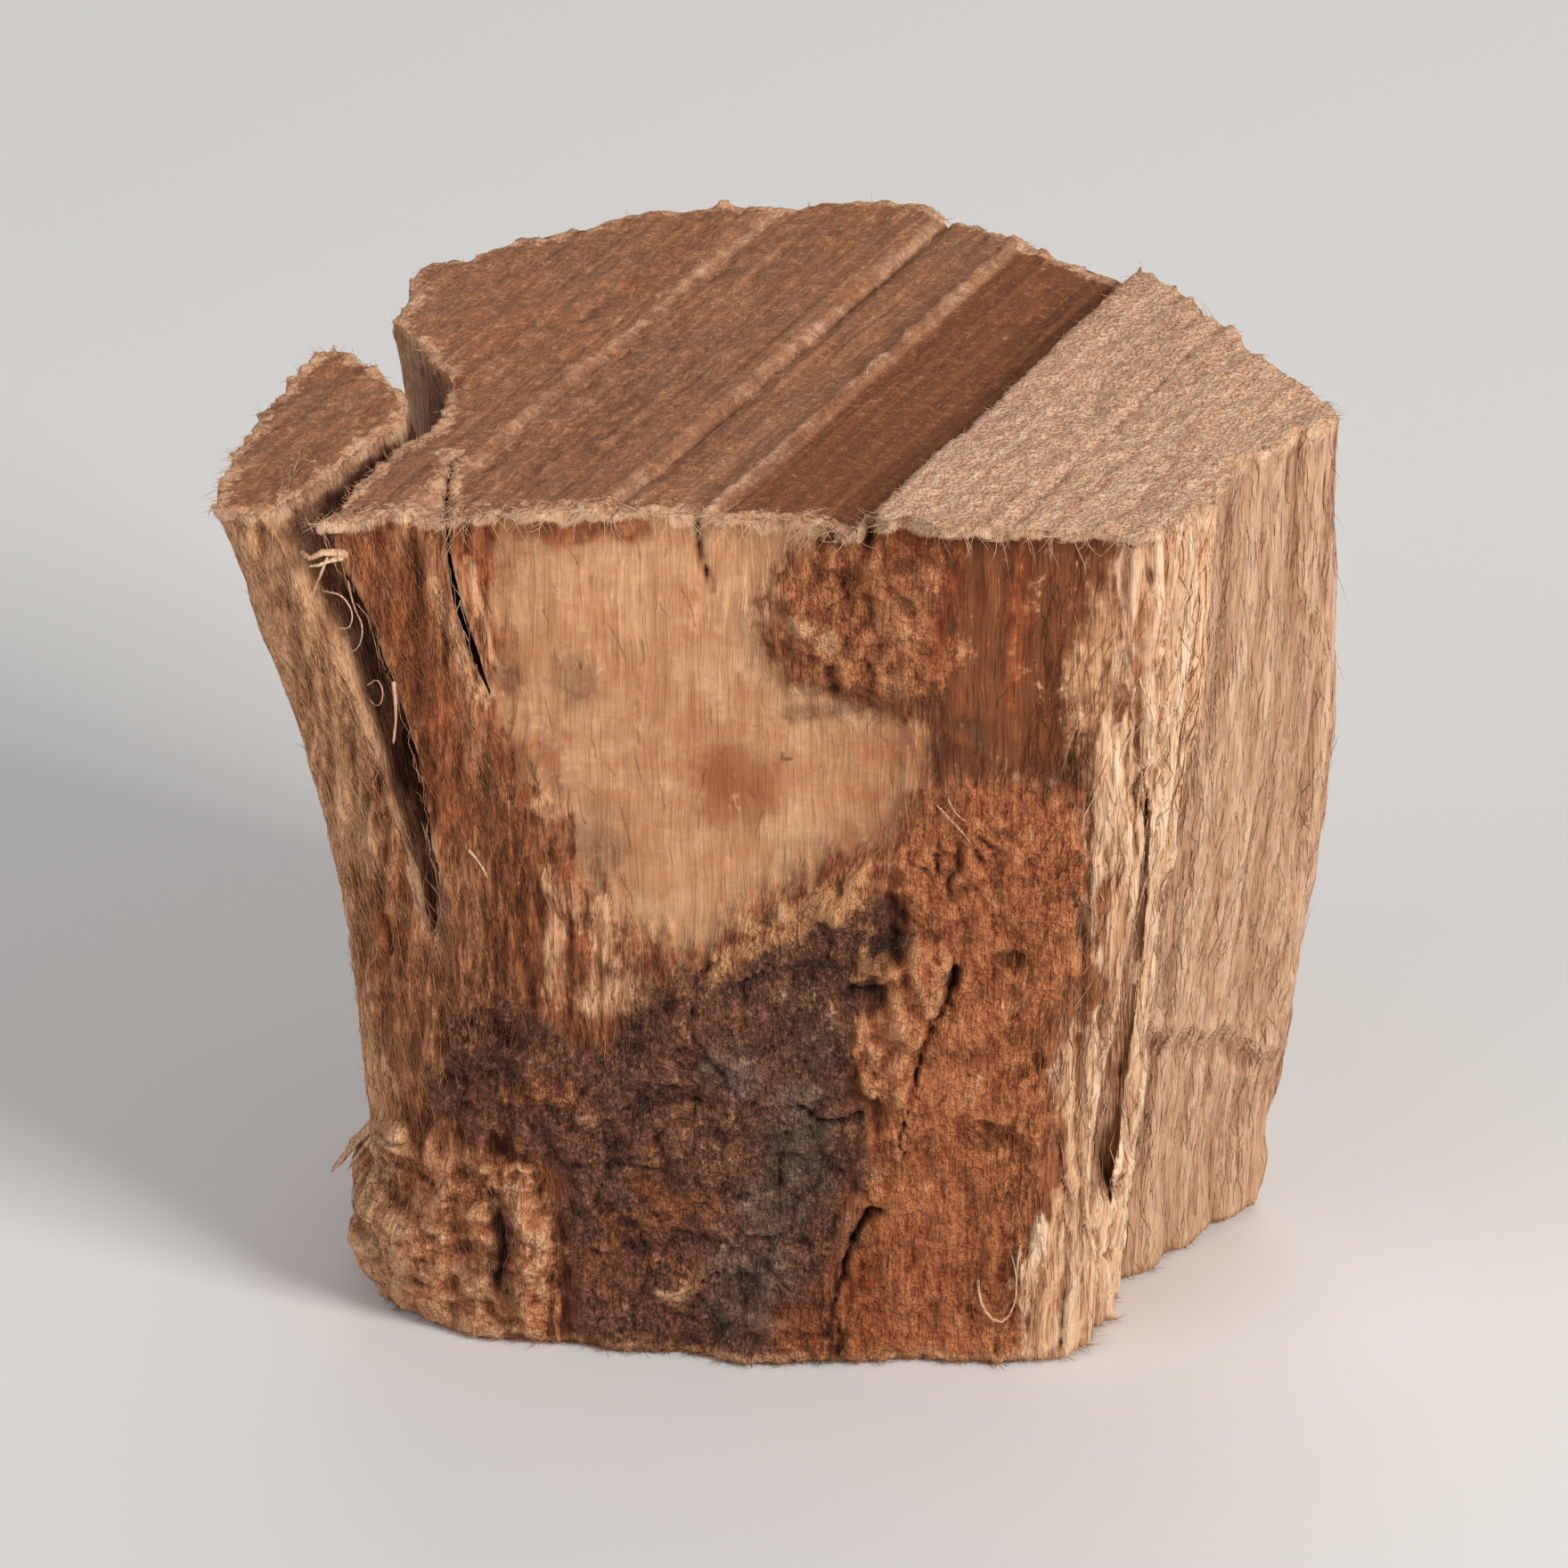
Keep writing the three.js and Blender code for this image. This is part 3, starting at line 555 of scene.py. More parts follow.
columns = column_places()
levels = round((HEIGHT + PAST_TOP + PAST_FOOT) / ROW)
heights = np.linspace(-PAST_FOOT, HEIGHT + PAST_TOP, levels + 1)
grid_s, grid_z = np.meshgrid(columns, heights)
out, side_masks = side_relief(grid_s, grid_z)
# High and proud say how far a point stands above its near and its wider neighbours. The materials paint
# raised places lighter and low places darker by them: painted light and painted shade on the relief.
side_masks["high"] = np.clip(0.5 + (out - blurred(blurred(out, 2), 2)) / 0.8, 0, 1)
side_masks["proud"] = np.clip(0.5 + (out - blurred(blurred(out, 7), 7)) / 1.8, 0, 1)
for label in ("high", "proud"):
    side_masks[label] = 0.5 + (side_masks[label] - 0.5) * (1 - side_masks["quiet"])
side_xy = outline(grid_s, grid_z) + outward(grid_s, grid_z) * out[..., None]
side_points = np.concatenate([side_xy, grid_z[..., None]], axis=-1)
chunk = closed_loft("wood_chunk_bark_and_fibre", side_points)
print(
    "sides:", len(columns), "columns,", levels + 1, "rows; relief", round(out.min(), 2), "to",
    round(out.max(), 2)
)

# %% [markdown]
# ## The sawn ends
# A coarse saw cuts across the grain and leaves long parallel marks, with small steps where the log moved
# between strokes. So the top is a slab whose upper face is a grid turned to the saw's direction, with the
# steps from the solid and then finer lines, torn fibre and pits. Keeping only what both the sides and the
# slab hold cuts both ends at once. The foot is flat, apart from hollows that never go below the floor.

# %% Sawn slab
SAW_ANGLE = math.radians(66)
SAW_SIN, SAW_COS = math.sin(SAW_ANGLE), math.cos(SAW_ANGLE)
SAW_PROFILE = [
    (-52, -0.6), (-40, 0.1), (-24.6, 0.25), (-24, -0.1), (-13, 0.35), (-12.1, 0.3), (-11.5, -0.7),
    (-10.9, 0), (-5.8, -0.1), (-5.2, 0.55), (-4.6, -0.2), (0.5, -0.55), (5.2, -1.1), (5.9, 0.5),
    (15, 0.35), (15.5, 0), (16, 0.3), (30, -0.2), (44, -0.9),
]
SAW_PITCH = 0.5
SLAB_ACROSS, SLAB_ALONG = (-52, 44), (-30, 80)
UNDERSIDE_COARSER, DENTS = 3, 0.35


def saw_height(p, q):
    """The top's height above the mean cut, p across the marks and q along them."""
    wander = 0.22 * noise(q / 7, 101, 0) + 0.2 * noise(q / 0.9, 102, p / 1.5)
    steps = np.interp(p + wander, *np.array(SAW_PROFILE).T)
    fuzzy = ease((p - 5.2) / 1.5) + ease((-13 - p) / 4)
    band = ease((p + 4) / 1.5) * ease((5 - p) / 1.5)
    lines = 0.03 * noise(p / 0.8, q / 30, 103)
    torn = 0.2 * noise(p / 1.1, q / 1.3, 105) + 0.16 * noise(p / 0.6, q / 0.65, 106)
    pits = np.clip(noise(p / 1.8, q / 2.6, 107) - 0.45, 0, 1) * 1.0
    saw_cuts = 0.26 * np.clip(ridges(p / 4.4, q / 60, 108) - 0.93, 0, 1) / 0.07
    torn = torn * (0.14 + 0.86 * fuzzy) * (1 - 0.5 * band)
    return steps + 0.2 * noise(p / 5, q / 14, 23) + lines + torn - 0.6 * pits - saw_cuts


def slab_points(p, q, z):
    """Places in the block's own directions, from places across and along the saw marks."""
    return np.stack([p * SAW_SIN + q * SAW_COS, -p * SAW_COS + q * SAW_SIN, z], axis=-1)


def quads(ids, flip):
    a, b, c, d = ids[:-1, :-1], ids[:-1, 1:], ids[1:, 1:], ids[1:, :-1]
    order = (a, d, c, b) if flip else (a, b, c, d)
    return np.stack(order, axis=-1).reshape(-1, 4).tolist()


def sawn_slab():
    p, q = np.meshgrid(np.arange(*SLAB_ACROSS, SAW_PITCH), np.arange(*SLAB_ALONG, SAW_PITCH))
    low_p, low_q = (grid[::UNDERSIDE_COARSER, ::UNDERSIDE_COARSER] for grid in (p, q))
    upper = slab_points(p, q, HEIGHT + saw_height(p, q))
    under = slab_points(low_p, low_q, DENTS * np.clip(noise(low_p / 3, low_q / 3, 111), 0, 1))
    top_ids = np.arange(p.size).reshape(p.shape)
    low_ids = p.size + np.arange(low_p.size).reshape(low_p.shape)
    faces = quads(top_ids, False) + quads(low_ids, True)
    for side in (np.s_[0, :], np.s_[:, -1], np.s_[-1, ::-1], np.s_[::-1, 0]):
        faces.append([*low_ids[side].tolist(), *top_ids[side][::-1].tolist()])
    return make_mesh("sawn_slab", np.concatenate([upper.reshape(-1, 3), under.reshape(-1, 3)]), faces)


slab = sawn_slab()
print("slab:", len(slab.data.polygons), "faces")

# %% [markdown]
# ## The gap, the check and the groove
# Three splits cut into the block. The wide gap frees the sliver on the left, a thin check parts the strip
# beside it, and a groove is torn down the front right corner. Each is a wedge that is taken away, as deep
# as on the solid, with walls that have ribs of their own so that they look split and not cut.

# %% Splits
GAP = [
    ((-36.6, -4), 5.6, 33), ((-34.1, 1.6), 3.7, 33), ((-31.6, 6), 2.6, 34), ((-28.9, 12.2), 2.2, 36),
    ((-26.6, 16), 2.5, 37), ((-25.9, 21), 3.0, 35), ((-26.7, 26.5), 4.2, 31), ((-29.6, 32), 5.2, 28),
    ((-34, 40), 6.2, 27),
]
CHECK = [((-23.8, -3), 0.85, 53), ((-23.8, 2.4), 0.7, 54), ((-24, 6), 0.5, 57), ((-23.4, 11), 0.3, 62)]
GAP_LEAN, CHECK_LEAN = (10.4, 4), (3.6, 2.4)
GROOVE = [
    (24, 10.6, 0.2), (23.7, 12.5, 1.3), (23.7, 14.5, 2.6), (24.1, 20.5, 2.8), (24.9, 28, 2.4),
    (25.6, 34, 1.6),
    (25.9, 38, 0.9), (26, 43, 0.4), (25.9, 48, 0.1),
]
GROOVE_DEPTH, GROOVE_SLANT, GROOVE_FRONT = 7, 0.5, -6


def smooth_stations(line, count):
    """Places, widths and floors along a split, evenly spaced and smoothly curved between the given ones."""
    knots = np.array([[*at, wide, floor] for at, wide, floor in line], float)
    steps = np.linalg.norm(np.diff(knots[:, :2], axis=0), axis=1)
    at = np.concatenate([[0], np.cumsum(steps)])
    even = np.linspace(0, at[-1], count)
    straight = np.stack([np.interp(even, at, knots[:, k]) for k in range(4)], axis=-1)
    for _ in range(max(2, count // 14)):
        straight[1:-1] = (straight[:-2] + 2 * straight[1:-1] + straight[2:]) / 4
    return straight


def leaning_blade(name, line, lean, count, rows, rough, bow, opening):
    """A wedge along a line seen from above. It leans by bow(drop) and is opened by opening(depth)."""
    stations = smooth_stations(line, count)
    part = np.linspace(0, 1, count)[None, :]
    depth = np.linspace(1, 0, rows)[:, None]
    z = mix(HEIGHT + 4, stations[None, :, 3], depth)
    x = stations[None, :, 0] + mix(lean[0], lean[1], part) * bow(np.maximum(0, HEIGHT - z))
    y = np.broadcast_to(stations[None, :, 1], x.shape)
    dx, dy = np.gradient(stations[:, 0]), np.gradient(stations[:, 1])
    length = np.hypot(dx, dy)
    nx, ny = (dy / length)[None, :], (-dx / length)[None, :]
    half = np.maximum(0.1, stations[None, :, 2] / 2 * opening(depth))
    walls = []
    for sign in (1, -1):
        rib = rough * (0.5 * ribs(x + 60 * sign, y, z, 1.6) + 0.4 * noise(x / 3, y / 3, z / 9 + 5 * sign))
        offset = sign * np.maximum(half + rib * np.minimum(1, half), 0.08)
        walls.append(np.stack([x + nx * offset, y + ny * offset, z], axis=-1))
    return closed_loft(name, np.concatenate([walls[0], walls[1][:, ::-1]], axis=1))


def gap_bow(drop):
    return np.tanh(drop / 23)


def gap_opening(depth):
    return (1 - depth) ** 0.35


def check_bow(drop):
    return (drop / 15) ** 2


def check_opening(depth):
    return 0.2 + 0.8 * ease((depth - 0.25) / 0.5) * (1 - ease((depth - 0.8) / 0.2))


def groove_blade():
    x, z, wide = np.array(GROOVE, float).T
    rows = np.linspace(z[0], z[-1], 70)
    mid, width = np.interp(rows, z, x), np.interp(rows, z, wide)
    mid = mid + 0.25 * noise(3, 5, rows / 7) + 0.1 * noise(3, 6, rows / 2)
    walls = {-1: [], 1: []}
    for t in np.linspace(0, 1, 16):
        y = np.full(rows.shape, mix(GROOVE_FRONT, GROOVE_DEPTH, t))
        wobble = 0.18 * noise(rows / 9, y / 2, 121)
        for sign, share in ((-1, 1), (1, 0.7)):
            x = mid + sign * width * mix(0.5, 0.3, t) + GROOVE_SLANT * t + share * wobble
            walls[sign].append(np.stack([x, y, rows], axis=-1))
    return closed_loft("groove_blade", np.stack(walls[1] + walls[-1][::-1], axis=1))


gap = leaning_blade("gap_blade", GAP, GAP_LEAN, 84, 44, 0.55, gap_bow, gap_opening)
check = leaning_blade("check_blade", CHECK, CHECK_LEAN, 30, 30, 0.2, check_bow, check_opening)
groove = groove_blade()
print("splits:", [len(o.data.polygons) for o in (gap, check, groove)])

# %% [markdown]
# ## Cutting
# Blender's Boolean modifier does the cutting. Each tool has a material of its own, which its faces keep, so
# afterwards every face of the block still tells whether it was split, sawn or torn open.

# %% Cut the block
def blank_material(name):
    made = bpy.data.materials.new(name)
    made.use_nodes = True
    return made


KINDS = ("bark_and_split_wood", "sawn_end", "sawn_foot", "torn_wall")
side_paint, top_paint, foot_paint, wall_paint = (blank_material(name) for name in KINDS)
chunk.data.materials.append(side_paint)
for tool in (gap, check, groove):
    tool.data.materials.append(wall_paint)
for paint in (top_paint, foot_paint):
    slab.data.materials.append(paint)
for face in slab.data.polygons:
    face.material_index = 0 if face.center.z > HEIGHT * MM / 2 else 1


def cut(target, tool, operation):
    modifier = target.modifiers.new(operation, "BOOLEAN")
    modifier.operation = operation
    modifier.object = tool
    modifier.solver = "MANIFOLD"
    modifier.material_mode = "TRANSFER"
    depsgraph = bpy.context.evaluated_depsgraph_get()
    result = bpy.data.meshes.new_from_object(target.evaluated_get(depsgraph))
    target.modifiers.clear()
    target.data = result
    bpy.data.objects.remove(tool)


for tool in (gap, check, groove):
    cut(chunk, tool, "DIFFERENCE")
cut(chunk, slab, "INTERSECT")
print("cut block:", len(chunk.data.polygons), "faces", [m.name for m in chunk.data.materials])

# %% [markdown]
# ## Reading the cut block
# The cut leaves a few slivers along its edges, so points that almost touch are merged and the mesh is made
# of triangles. Then every point learns where it is: on a split side, a sawn end or a torn wall, how near
# it is to a sawn edge, and which bark layers the nearest point of the sides had.

# %% Read the block
WELD = 0.02 * MM


def triangulated(target):
    tidy = bmesh.new()
    tidy.from_mesh(target.data)
    bmesh.ops.remove_doubles(tidy, verts=tidy.verts, dist=WELD)
    bmesh.ops.dissolve_degenerate(tidy, edges=tidy.edges, dist=WELD)
    bmesh.ops.triangulate(tidy, faces=tidy.faces)
    tidy.to_mesh(target.data)
    tidy.free()


def read(rows, label, width, kind=float):
    """A table of what a mesh's points, edges or faces say under a label."""
    flat = np.empty(len(rows) * width, kind)
    rows.foreach_get(label, flat)
    return flat.reshape(-1, width)


def write_points(mesh, places):
    mesh.vertices.foreach_set("co", ((places - [*CENTRE, 0]) * MM).ravel())
    mesh.update()


def tree_of(places):
    tree = KDTree(len(places))
    for i, place in enumerate(places):
        tree.insert(place, i)
    tree.balance()
    return tree


def nearest(tree, places):
    """For each place, the index of the nearest point in the tree and how far it is."""
    found = [tree.find(place)[1:] for place in places]
    return np.array([index for index, _ in found]), np.array([away for _, away in found])


triangulated(chunk)
mesh = chunk.data
order = {m.name: i for i, m in enumerate(mesh.materials)}
triangles = read(mesh.polygons, "vertices", 3, np.int64)
kind = read(mesh.polygons, "material_index", 1, np.int64)[:, 0]
points = read(mesh.vertices, "co", 3) / MM + [*CENTRE, 0]


def touches(name):
    flags = np.zeros(len(points), bool)
    flags[triangles[kind == order[name]].ravel()] = True
    return flags


on_side, on_top, on_foot, on_wall = (touches(name) for name in KINDS)
top_rim = on_top & (on_side | on_wall)
foot_rim = on_foot & on_side
_, from_rim = nearest(tree_of(points[top_rim]), points)
_, from_foot_rim = nearest(tree_of(points[foot_rim]), points)
cell, _ = nearest(tree_of(side_points.reshape(-1, 3)), points)
print("points:", len(points), "triangles:", len(triangles), "rim points:", top_rim.sum(), foot_rim.sum())

# %% [markdown]
# ## Worn edges
# A saw leaves a sharp edge, but on dry wood it frays within hours. So the points near a sawn edge are
# relaxed towards their neighbours, which rounds it, and then pushed about by small lumps.

# %% Wear the edges
RELAXING_ROUNDS, RELAXING_PULL = 3, 0.55
RIM_REACH, FOOT_RIM_REACH, LUMPS_REACH = 0.9, 1.0, 1.6


def neighbour_mean(places, edges):
    total = np.zeros_like(places)
    np.add.at(total, edges[:, 0], places[edges[:, 1]])
    np.add.at(total, edges[:, 1], places[edges[:, 0]])
    return total / np.bincount(edges.ravel(), minlength=len(places))[:, None]


edges = read(mesh.edges, "vertices", 2, np.int64)
near_edge = np.maximum(ease(RIM_REACH - from_rim), ease(FOOT_RIM_REACH - from_foot_rim))
for _ in range(RELAXING_ROUNDS):
    points = mix(points, neighbour_mean(points, edges), (RELAXING_PULL * near_edge)[:, None])
write_points(mesh, points)
x, y, z = points.T
lumpy = 0.3 * noise(x / 0.9, y / 0.9, z / 0.9) + 0.18 * noise(x / 0.45, y / 0.45, z / 0.45)
lumpy = lumpy * ease(LUMPS_REACH - from_rim)
points = points + read(mesh.vertices, "normal", 3) * lumpy[:, None]
points[:, 2] = np.maximum(points[:, 2], 0)
write_points(mesh, points)

# %% [markdown]
# ## Stains and what each point remembers
# Weather, sap and damp have stained the wood in spots: dark stains, ash-grey smudges, rusty patches
# where the bast is still fresh, and cream spots where fibres were just torn. The dark spots also hold painted
# shade in the hollows and under the lower edges of raised bark. Each is a soft oval with a ragged edge,
# listed by its place, its size and its strength. All masks are kept on the mesh as attributes, which the
# materials read by name.

# %% Masks on the mesh
RING = (-3.4, 46.8, 3.3, 3.6)
SPOTS = {
    # Dark spots: stains on the crust and the wood, and painted shade in the hollows and cracks.
    "soot": [
        (6.1, 31.2, 2.1, 0.9, 0.9), (8.9, 37.6, 0.9, 1.4, 0.55), (7.8, 35.2, 1.1, 1.8, 0.65),
        (5.5, 54.4, 3.6, 0.9, 0.55), (14, 51.9, 1.6, 1.4, 0.5),
        (19.5, 48.5, 1.8, 1.6, 0.5), (8.7, 62.3, 1.1, 1.1, 0.5), (1.5, 17, 4, 6, 0.45),
        (-4, 4.5, 3, 3.5, 0.5),
        (3.3, 24, 1.6, 3.5, 0.5), (3, 32.5, 3.5, 1.6, 0.5), (-20.3, 7.5, 1, 4.5, 0.9),
        (16.5, 33.2, 1.2, 0.8, 0.7),
        (15.3, 19.2, 0.8, 0.8, 0.6), (-28, 33.3, 0.35, 1.5, 0.6), (-30.8, 33.2, 1.2, 0.7, 0.4),
        (-19.4, 56, 1, 2.2, 0.5),
        (-3.9, 48.9, 0.25, 0.25, 0.6), (0.4, 49, 0.3, 0.45, 0.7), (-1, 51.4, 0.2, 0.2, 0.5),
        (-9, 22, 5, 3, 0.3),
        (-12.5, 41.5, 1.6, 2.6, 0.35), (-26.6, 56, 1.6, 9, 0.45), (11.6, 47.5, 2.5, 2, 0.35),
    ],
    "ash": [
        (-3.6, 24.4, 2.2, 2, 0.9), (1.4, 18, 3, 5, 0.8), (-2.5, 6.5, 3.4, 4.5, 0.8), (-0.5, 13, 3, 3, 0.7),
        (2.5, 27, 2.5, 3, 0.5), (-14.5, 55.4, 1.9, 2.4, 0.75),
        (-13, 42, 2.2, 4.2, 0.6), (-26, 57, 1.4, 4, 0.4), (-22, 48, 2.5, 3, 0.45), (0, 30, 3, 3, 0.3),
        (-17.2, 45.8, 1.6, 2.6, 0.5), (8.7, 62.3, 1, 1, 0.5), (13.7, 51.5, 1.3, 1.2, 0.5),
        (19.8, 48, 1.3, 1.2, 0.5),
    ],
    "rust": [
        (-22, 66, 1.5, 3.6, 0.85), (-18.5, 68.6, 2, 0.7, 0.8), (-14, 66.3, 4.6, 1.7, 1),
        (-19.4, 64, 1.4, 4, 0.45), (8.8, 67, 3, 2.6, 0.9),
        (5.5, 62, 2.4, 3, 0.5), (2, 3, 3.5, 4, 0.7), (6.5, 5.5, 1.8, 4.5, 0.9), (11, 7, 3.2, 5, 0.45),
        (-24, 12, 2.5, 3, 0.5), (-18, 10, 1.6, 2.5, 0.4), (-20.8, 21.5, 2.2, 1.4, 0.5),
        (-9, 18, 1.5, 1.5, 0.5),
        (-10, 8, 5, 5, 0.3), (16.8, 62, 1, 7, 0.55), (-28.3, 33, 0.9, 1.4, 0.8), (24.6, 27, 1.2, 8, 0.6),
        (-27.2, 46, 1.6, 2.4, 0.4), (13, 42.5, 3, 2.4, 0.35), (26.6, 58, 0.8, 9, 0.6),
        (-16.4, 34, 1.5, 5, 0.45),
        (4.5, 48.5, 5, 4.5, 0.3), (8, 45, 2, 3, 0.4), (-12, 8, 4, 5, 0.4), (-17, 22, 4, 3, 0.45),
        (-8, 13, 3, 3, 0.5),
        (-17.5, 48, 2.6, 4.5, 0.5), (-5, 49.5, 8, 6, 0.25), (-16, 41, 2, 3, 0.5), (7, 50, 3.5, 3, 0.35),
        (-3, 38.5, 2.5, 1.5, 0.3),
    ],
    "cream": [
        (1.6, 59.4, 1.5, 1.3, 0.6), (2.7, 58.4, 1.1, 1.1, 0.5), (-17.2, 45.8, 1.2, 2, 0.5),
        (-11.5, 31, 2.4, 3.2, 0.6), (-13.5, 29.5, 2, 1.5, 0.4),
        (-16.2, 34, 1.2, 5, 0.55), (-20.5, 5.2, 1.3, 2, 0.5), (-8.4, 5.4, 1.5, 0.8, 0.8),
        (-18, 9.8, 1, 1.1, 0.8), (4.8, 67.5, 0.9, 1.1, 0.8), (-12.6, 60, 3.4, 6, 0.5),
        (-4, 62.5, 4.5, 5, 0.5),
        (-6, 38.5, 5.5, 3, 0.35), (-29.6, 6, 2.6, 5, 0.8), (-23, 4.6, 3, 1.6, 0.5), (-22.4, 14, 1, 1.4, 0.5),
        (22.4, 57.5, 2, 5.5, 0.75), (21.4, 51, 1.2, 2.4, 0.4), (-34.4, 60, 2.4, 9, 0.5),
        (-31.5, 46, 2, 8, 0.45),
    ],
}


STREAKS = {
    "cream": [
        ([(-38.2, 66), (-36, 57), (-33.6, 49), (-31.4, 40)], 2.2, 1),
        ([(-37.2, 69), (-35.4, 64.5), (-33.6, 60.5), (-32, 56.5), (-30.3, 51)], 0.95, 0.9),
        ([(-24.9, 63), (-23.6, 58.5), (-22.6, 55.5), (-21.4, 53)], 0.35, 0.8),
        ([(-22.3, 64.5), (-21.5, 60.5), (-20.6, 56)], 0.3, 0.8),
        ([(-26.9, 44), (-26.3, 40), (-26.2, 37)], 0.3, 0.6),
        ([(-30.4, 20), (-29.6, 17), (-31.2, 11), (-31.8, 6), (-30, 2)], 1.7, 1),
        (
            [
                (-40.2, 68), (-37.8, 58), (-35.4, 50), (-33.4, 44), (-33, 38), (-32.4, 31), (-31.2, 25),
                (-30.2, 20)
            ],
            1.3, 1
        ),
        ([(-33, 3), (-26, 1), (-18, 0.6)], 0.8, 0.6),
        ([(-17, 40), (-16.4, 35), (-17, 30)], 0.5, 0.7), ([(-13.2, 37), (-13, 33), (-13.6, 29)], 0.8, 0.7),
        ([(20.4, 14), (20.2, 8), (19, 2)], 0.5, 0.8), ([(21.4, 28), (21.6, 20), (21.4, 13)], 0.5, 0.6),
    ],
    # Dark lines: thin dark marks in the sapwood, and painted shade along the lower edges of raised bark.
    "soot": [
        ([(-10.2, 66), (-10.1, 58), (-10.3, 49)], 0.12, 0.45), ([(-3.6, 55.5), (-3.4, 51.5)], 0.12, 0.25),
        ([(-19.2, 51.8), (-15, 51), (-11, 51.4)], 0.5, 0.2),
        ([(0.5, 52.4), (5, 53.2), (10, 53.6)], 0.8, 0.45),
        ([(11.5, 50.5), (16, 48.2), (21, 47.6)], 1.0, 0.45),
    ],
    "rust": [
        ([(17.2, 68), (17, 62), (16.4, 54)], 0.7, 0.6), ([(12.7, 68), (12.2, 62), (11, 57)], 0.9, 0.6),
        ([(-29.4, 66), (-27, 60), (-25, 53), (-23.6, 44)], 1.9, 0.65),
    ],
}


def spots(table, x, z):
    x, z = astray(x, z, 130, 1.6)
    total = np.zeros(len(x))
    for at_x, at_z, wide, high, strength in table:
        total = np.maximum(total, strength * ease((1.7 - oval(x, z, at_x, at_z, wide, high)) / 1.3))
    return total


def ring_mask(x, z):
    away = oval(x, z, *RING) + 0.2 * noise(x / 1.1, 133, z / 1.4) + 0.12 * noise(x / 0.5, 134, z / 0.5)
    return 0.75 * ease(1.25 - away) + 0.2 * np.exp(-(((away - 0.8) / 0.25) ** 2))


def streaks(table, x, z):
    """Long marks drawn as lines on the front, each with half its width and its strength."""
    x, z = astray(x, z, 190, 0.35)
    total = np.zeros(len(x))
    for line, wide, strength in table:
        for start, end in zip(line, line[1:]):
            total = np.maximum(total, strength * ease(1.6 - from_segment(x, z, start, end) / wide))
    return total


x, y, z = points.T
p = x * SAW_SIN - y * SAW_COS
SIDE_MASKS = "bare crust brown knobs crack bast lip ridge split old face behind front smooth high proud"
attributes = {name: side_masks[name].ravel()[cell] for name in SIDE_MASKS.split()}
near_front = np.maximum(attributes["front"], attributes["old"]) * (y < 14)
for name, table in SPOTS.items():
    drawn_marks = streaks(STREAKS.get(name, []), x, z)
    attributes[name] = np.maximum(spots(table, x, z), drawn_marks) * near_front
attributes["wall"] = (on_wall & ~on_top).astype(float)
attributes["rim"] = ease(1.5 - from_rim + 0.7 * noise(x / 1.4, y / 1.4, z / 1.4))
attributes["foot_rim"] = ease(1.3 - from_foot_rim + 0.4 * noise(x / 1.2, y / 1.2, z / 1.2))
attributes["ring"] = ring_mask(x, z) * attributes["bare"]
attributes["band"] = ease((p + 4.8) / 0.8) * ease((5.4 - p) / 0.6)
STEPS = (-24.3, -11.9, -5.2, 5.9, 15.4, 16.1)
step = sum(np.exp(-(((p - at + 0.3 * noise(y / 0.8, at, 0)) / 0.45) ** 2)) for at in STEPS)
attributes["step"] = step * np.clip(0.5 + noise(y / 1.4, p, 144), 0, 1) * on_top
attributes["fuzzy"] = ease((p - 5.2) / 1.2)
# The top is painted paler along its front, and on its fuzzy part towards the front: painted light, fading
# towards the back.
pale_front = ease((4.2 - y + 1.6 * noise(x / 2.2, 141, y / 2.2)) / 4)
fuzz_lit_near_front = 0.6 * attributes["fuzzy"] * ease((16 - y) / 10)
attributes["front_edge"] = np.maximum(pale_front * on_top, fuzz_lit_near_front * on_top)
for i, axis in enumerate("xyz"):
    broad, small = (noise(x / size, y / size, z / size + 40 * i) for size in (3.1, 1.3))
    attributes["sway_" + axis] = 0.5 + 0.2 * broad + 0.08 * small


def write_attribute(mesh, name, values):
    layer = mesh.attributes.new(name, "FLOAT", "POINT")
    layer.data.foreach_set("value", np.clip(values, 0, 1).astype(np.float32))


for name, values in attributes.items():
    write_attribute(mesh, name, values)
mesh.polygons.foreach_set("use_smooth", np.ones(len(mesh.polygons), bool))
print("masks:", ", ".join(f"{name} {values.mean():.2f}" for name, values in attributes.items()))

# %% [markdown]
# ## Node groups for wood
# Six effects serve every material here. Fibres are noise drawn out along the grain, in broad strands and
# fine threads. Hairs are the thin lines where such noise crosses its middle value, which look like single
# loose fibres. Tones turn a value into a colour between a dark, a middle and a light one. Mottle is soft
# noise with no direction, for dirt, damp and old bark. Crazing is a net of fine cracks, as dry bark has.
# Frayed tears the edge of a mask along the fibres.

# %% Node groups
FLOAT, VECTOR, COLOUR = "NodeSocketFloat", "NodeSocketVector", "NodeSocketColor"
PLACED = {"Place": VECTOR, "Sway": VECTOR}


def sheet_node(tree, kind, inputs=None, **settings):
    made = tree.nodes.new(kind)
    for name, value in settings.items():
        setattr(made, name, value)
    for key, value in (inputs or {}).items():
        if isinstance(value, bpy.types.NodeSocket):
            tree.links.new(value, made.inputs[key])
        else:
            made.inputs[key].default_value = value
    return made


def maths(tree, operation, *values):
    return sheet_node(tree, "ShaderNodeMath", dict(enumerate(values)), operation=operation).outputs[0]


def chain(tree, operation, first, *rest):
    """The same operation on two or more values, one after the other."""
    for value in rest:
        first = maths(tree, operation, first, value)
    return first


def total_of(tree, *parts):
    """Adds up values, each given as (value, weight)."""
    total = 0.0
    for value, weight in parts:
        total = maths(tree, "MULTIPLY_ADD", value, weight, total)
    return total


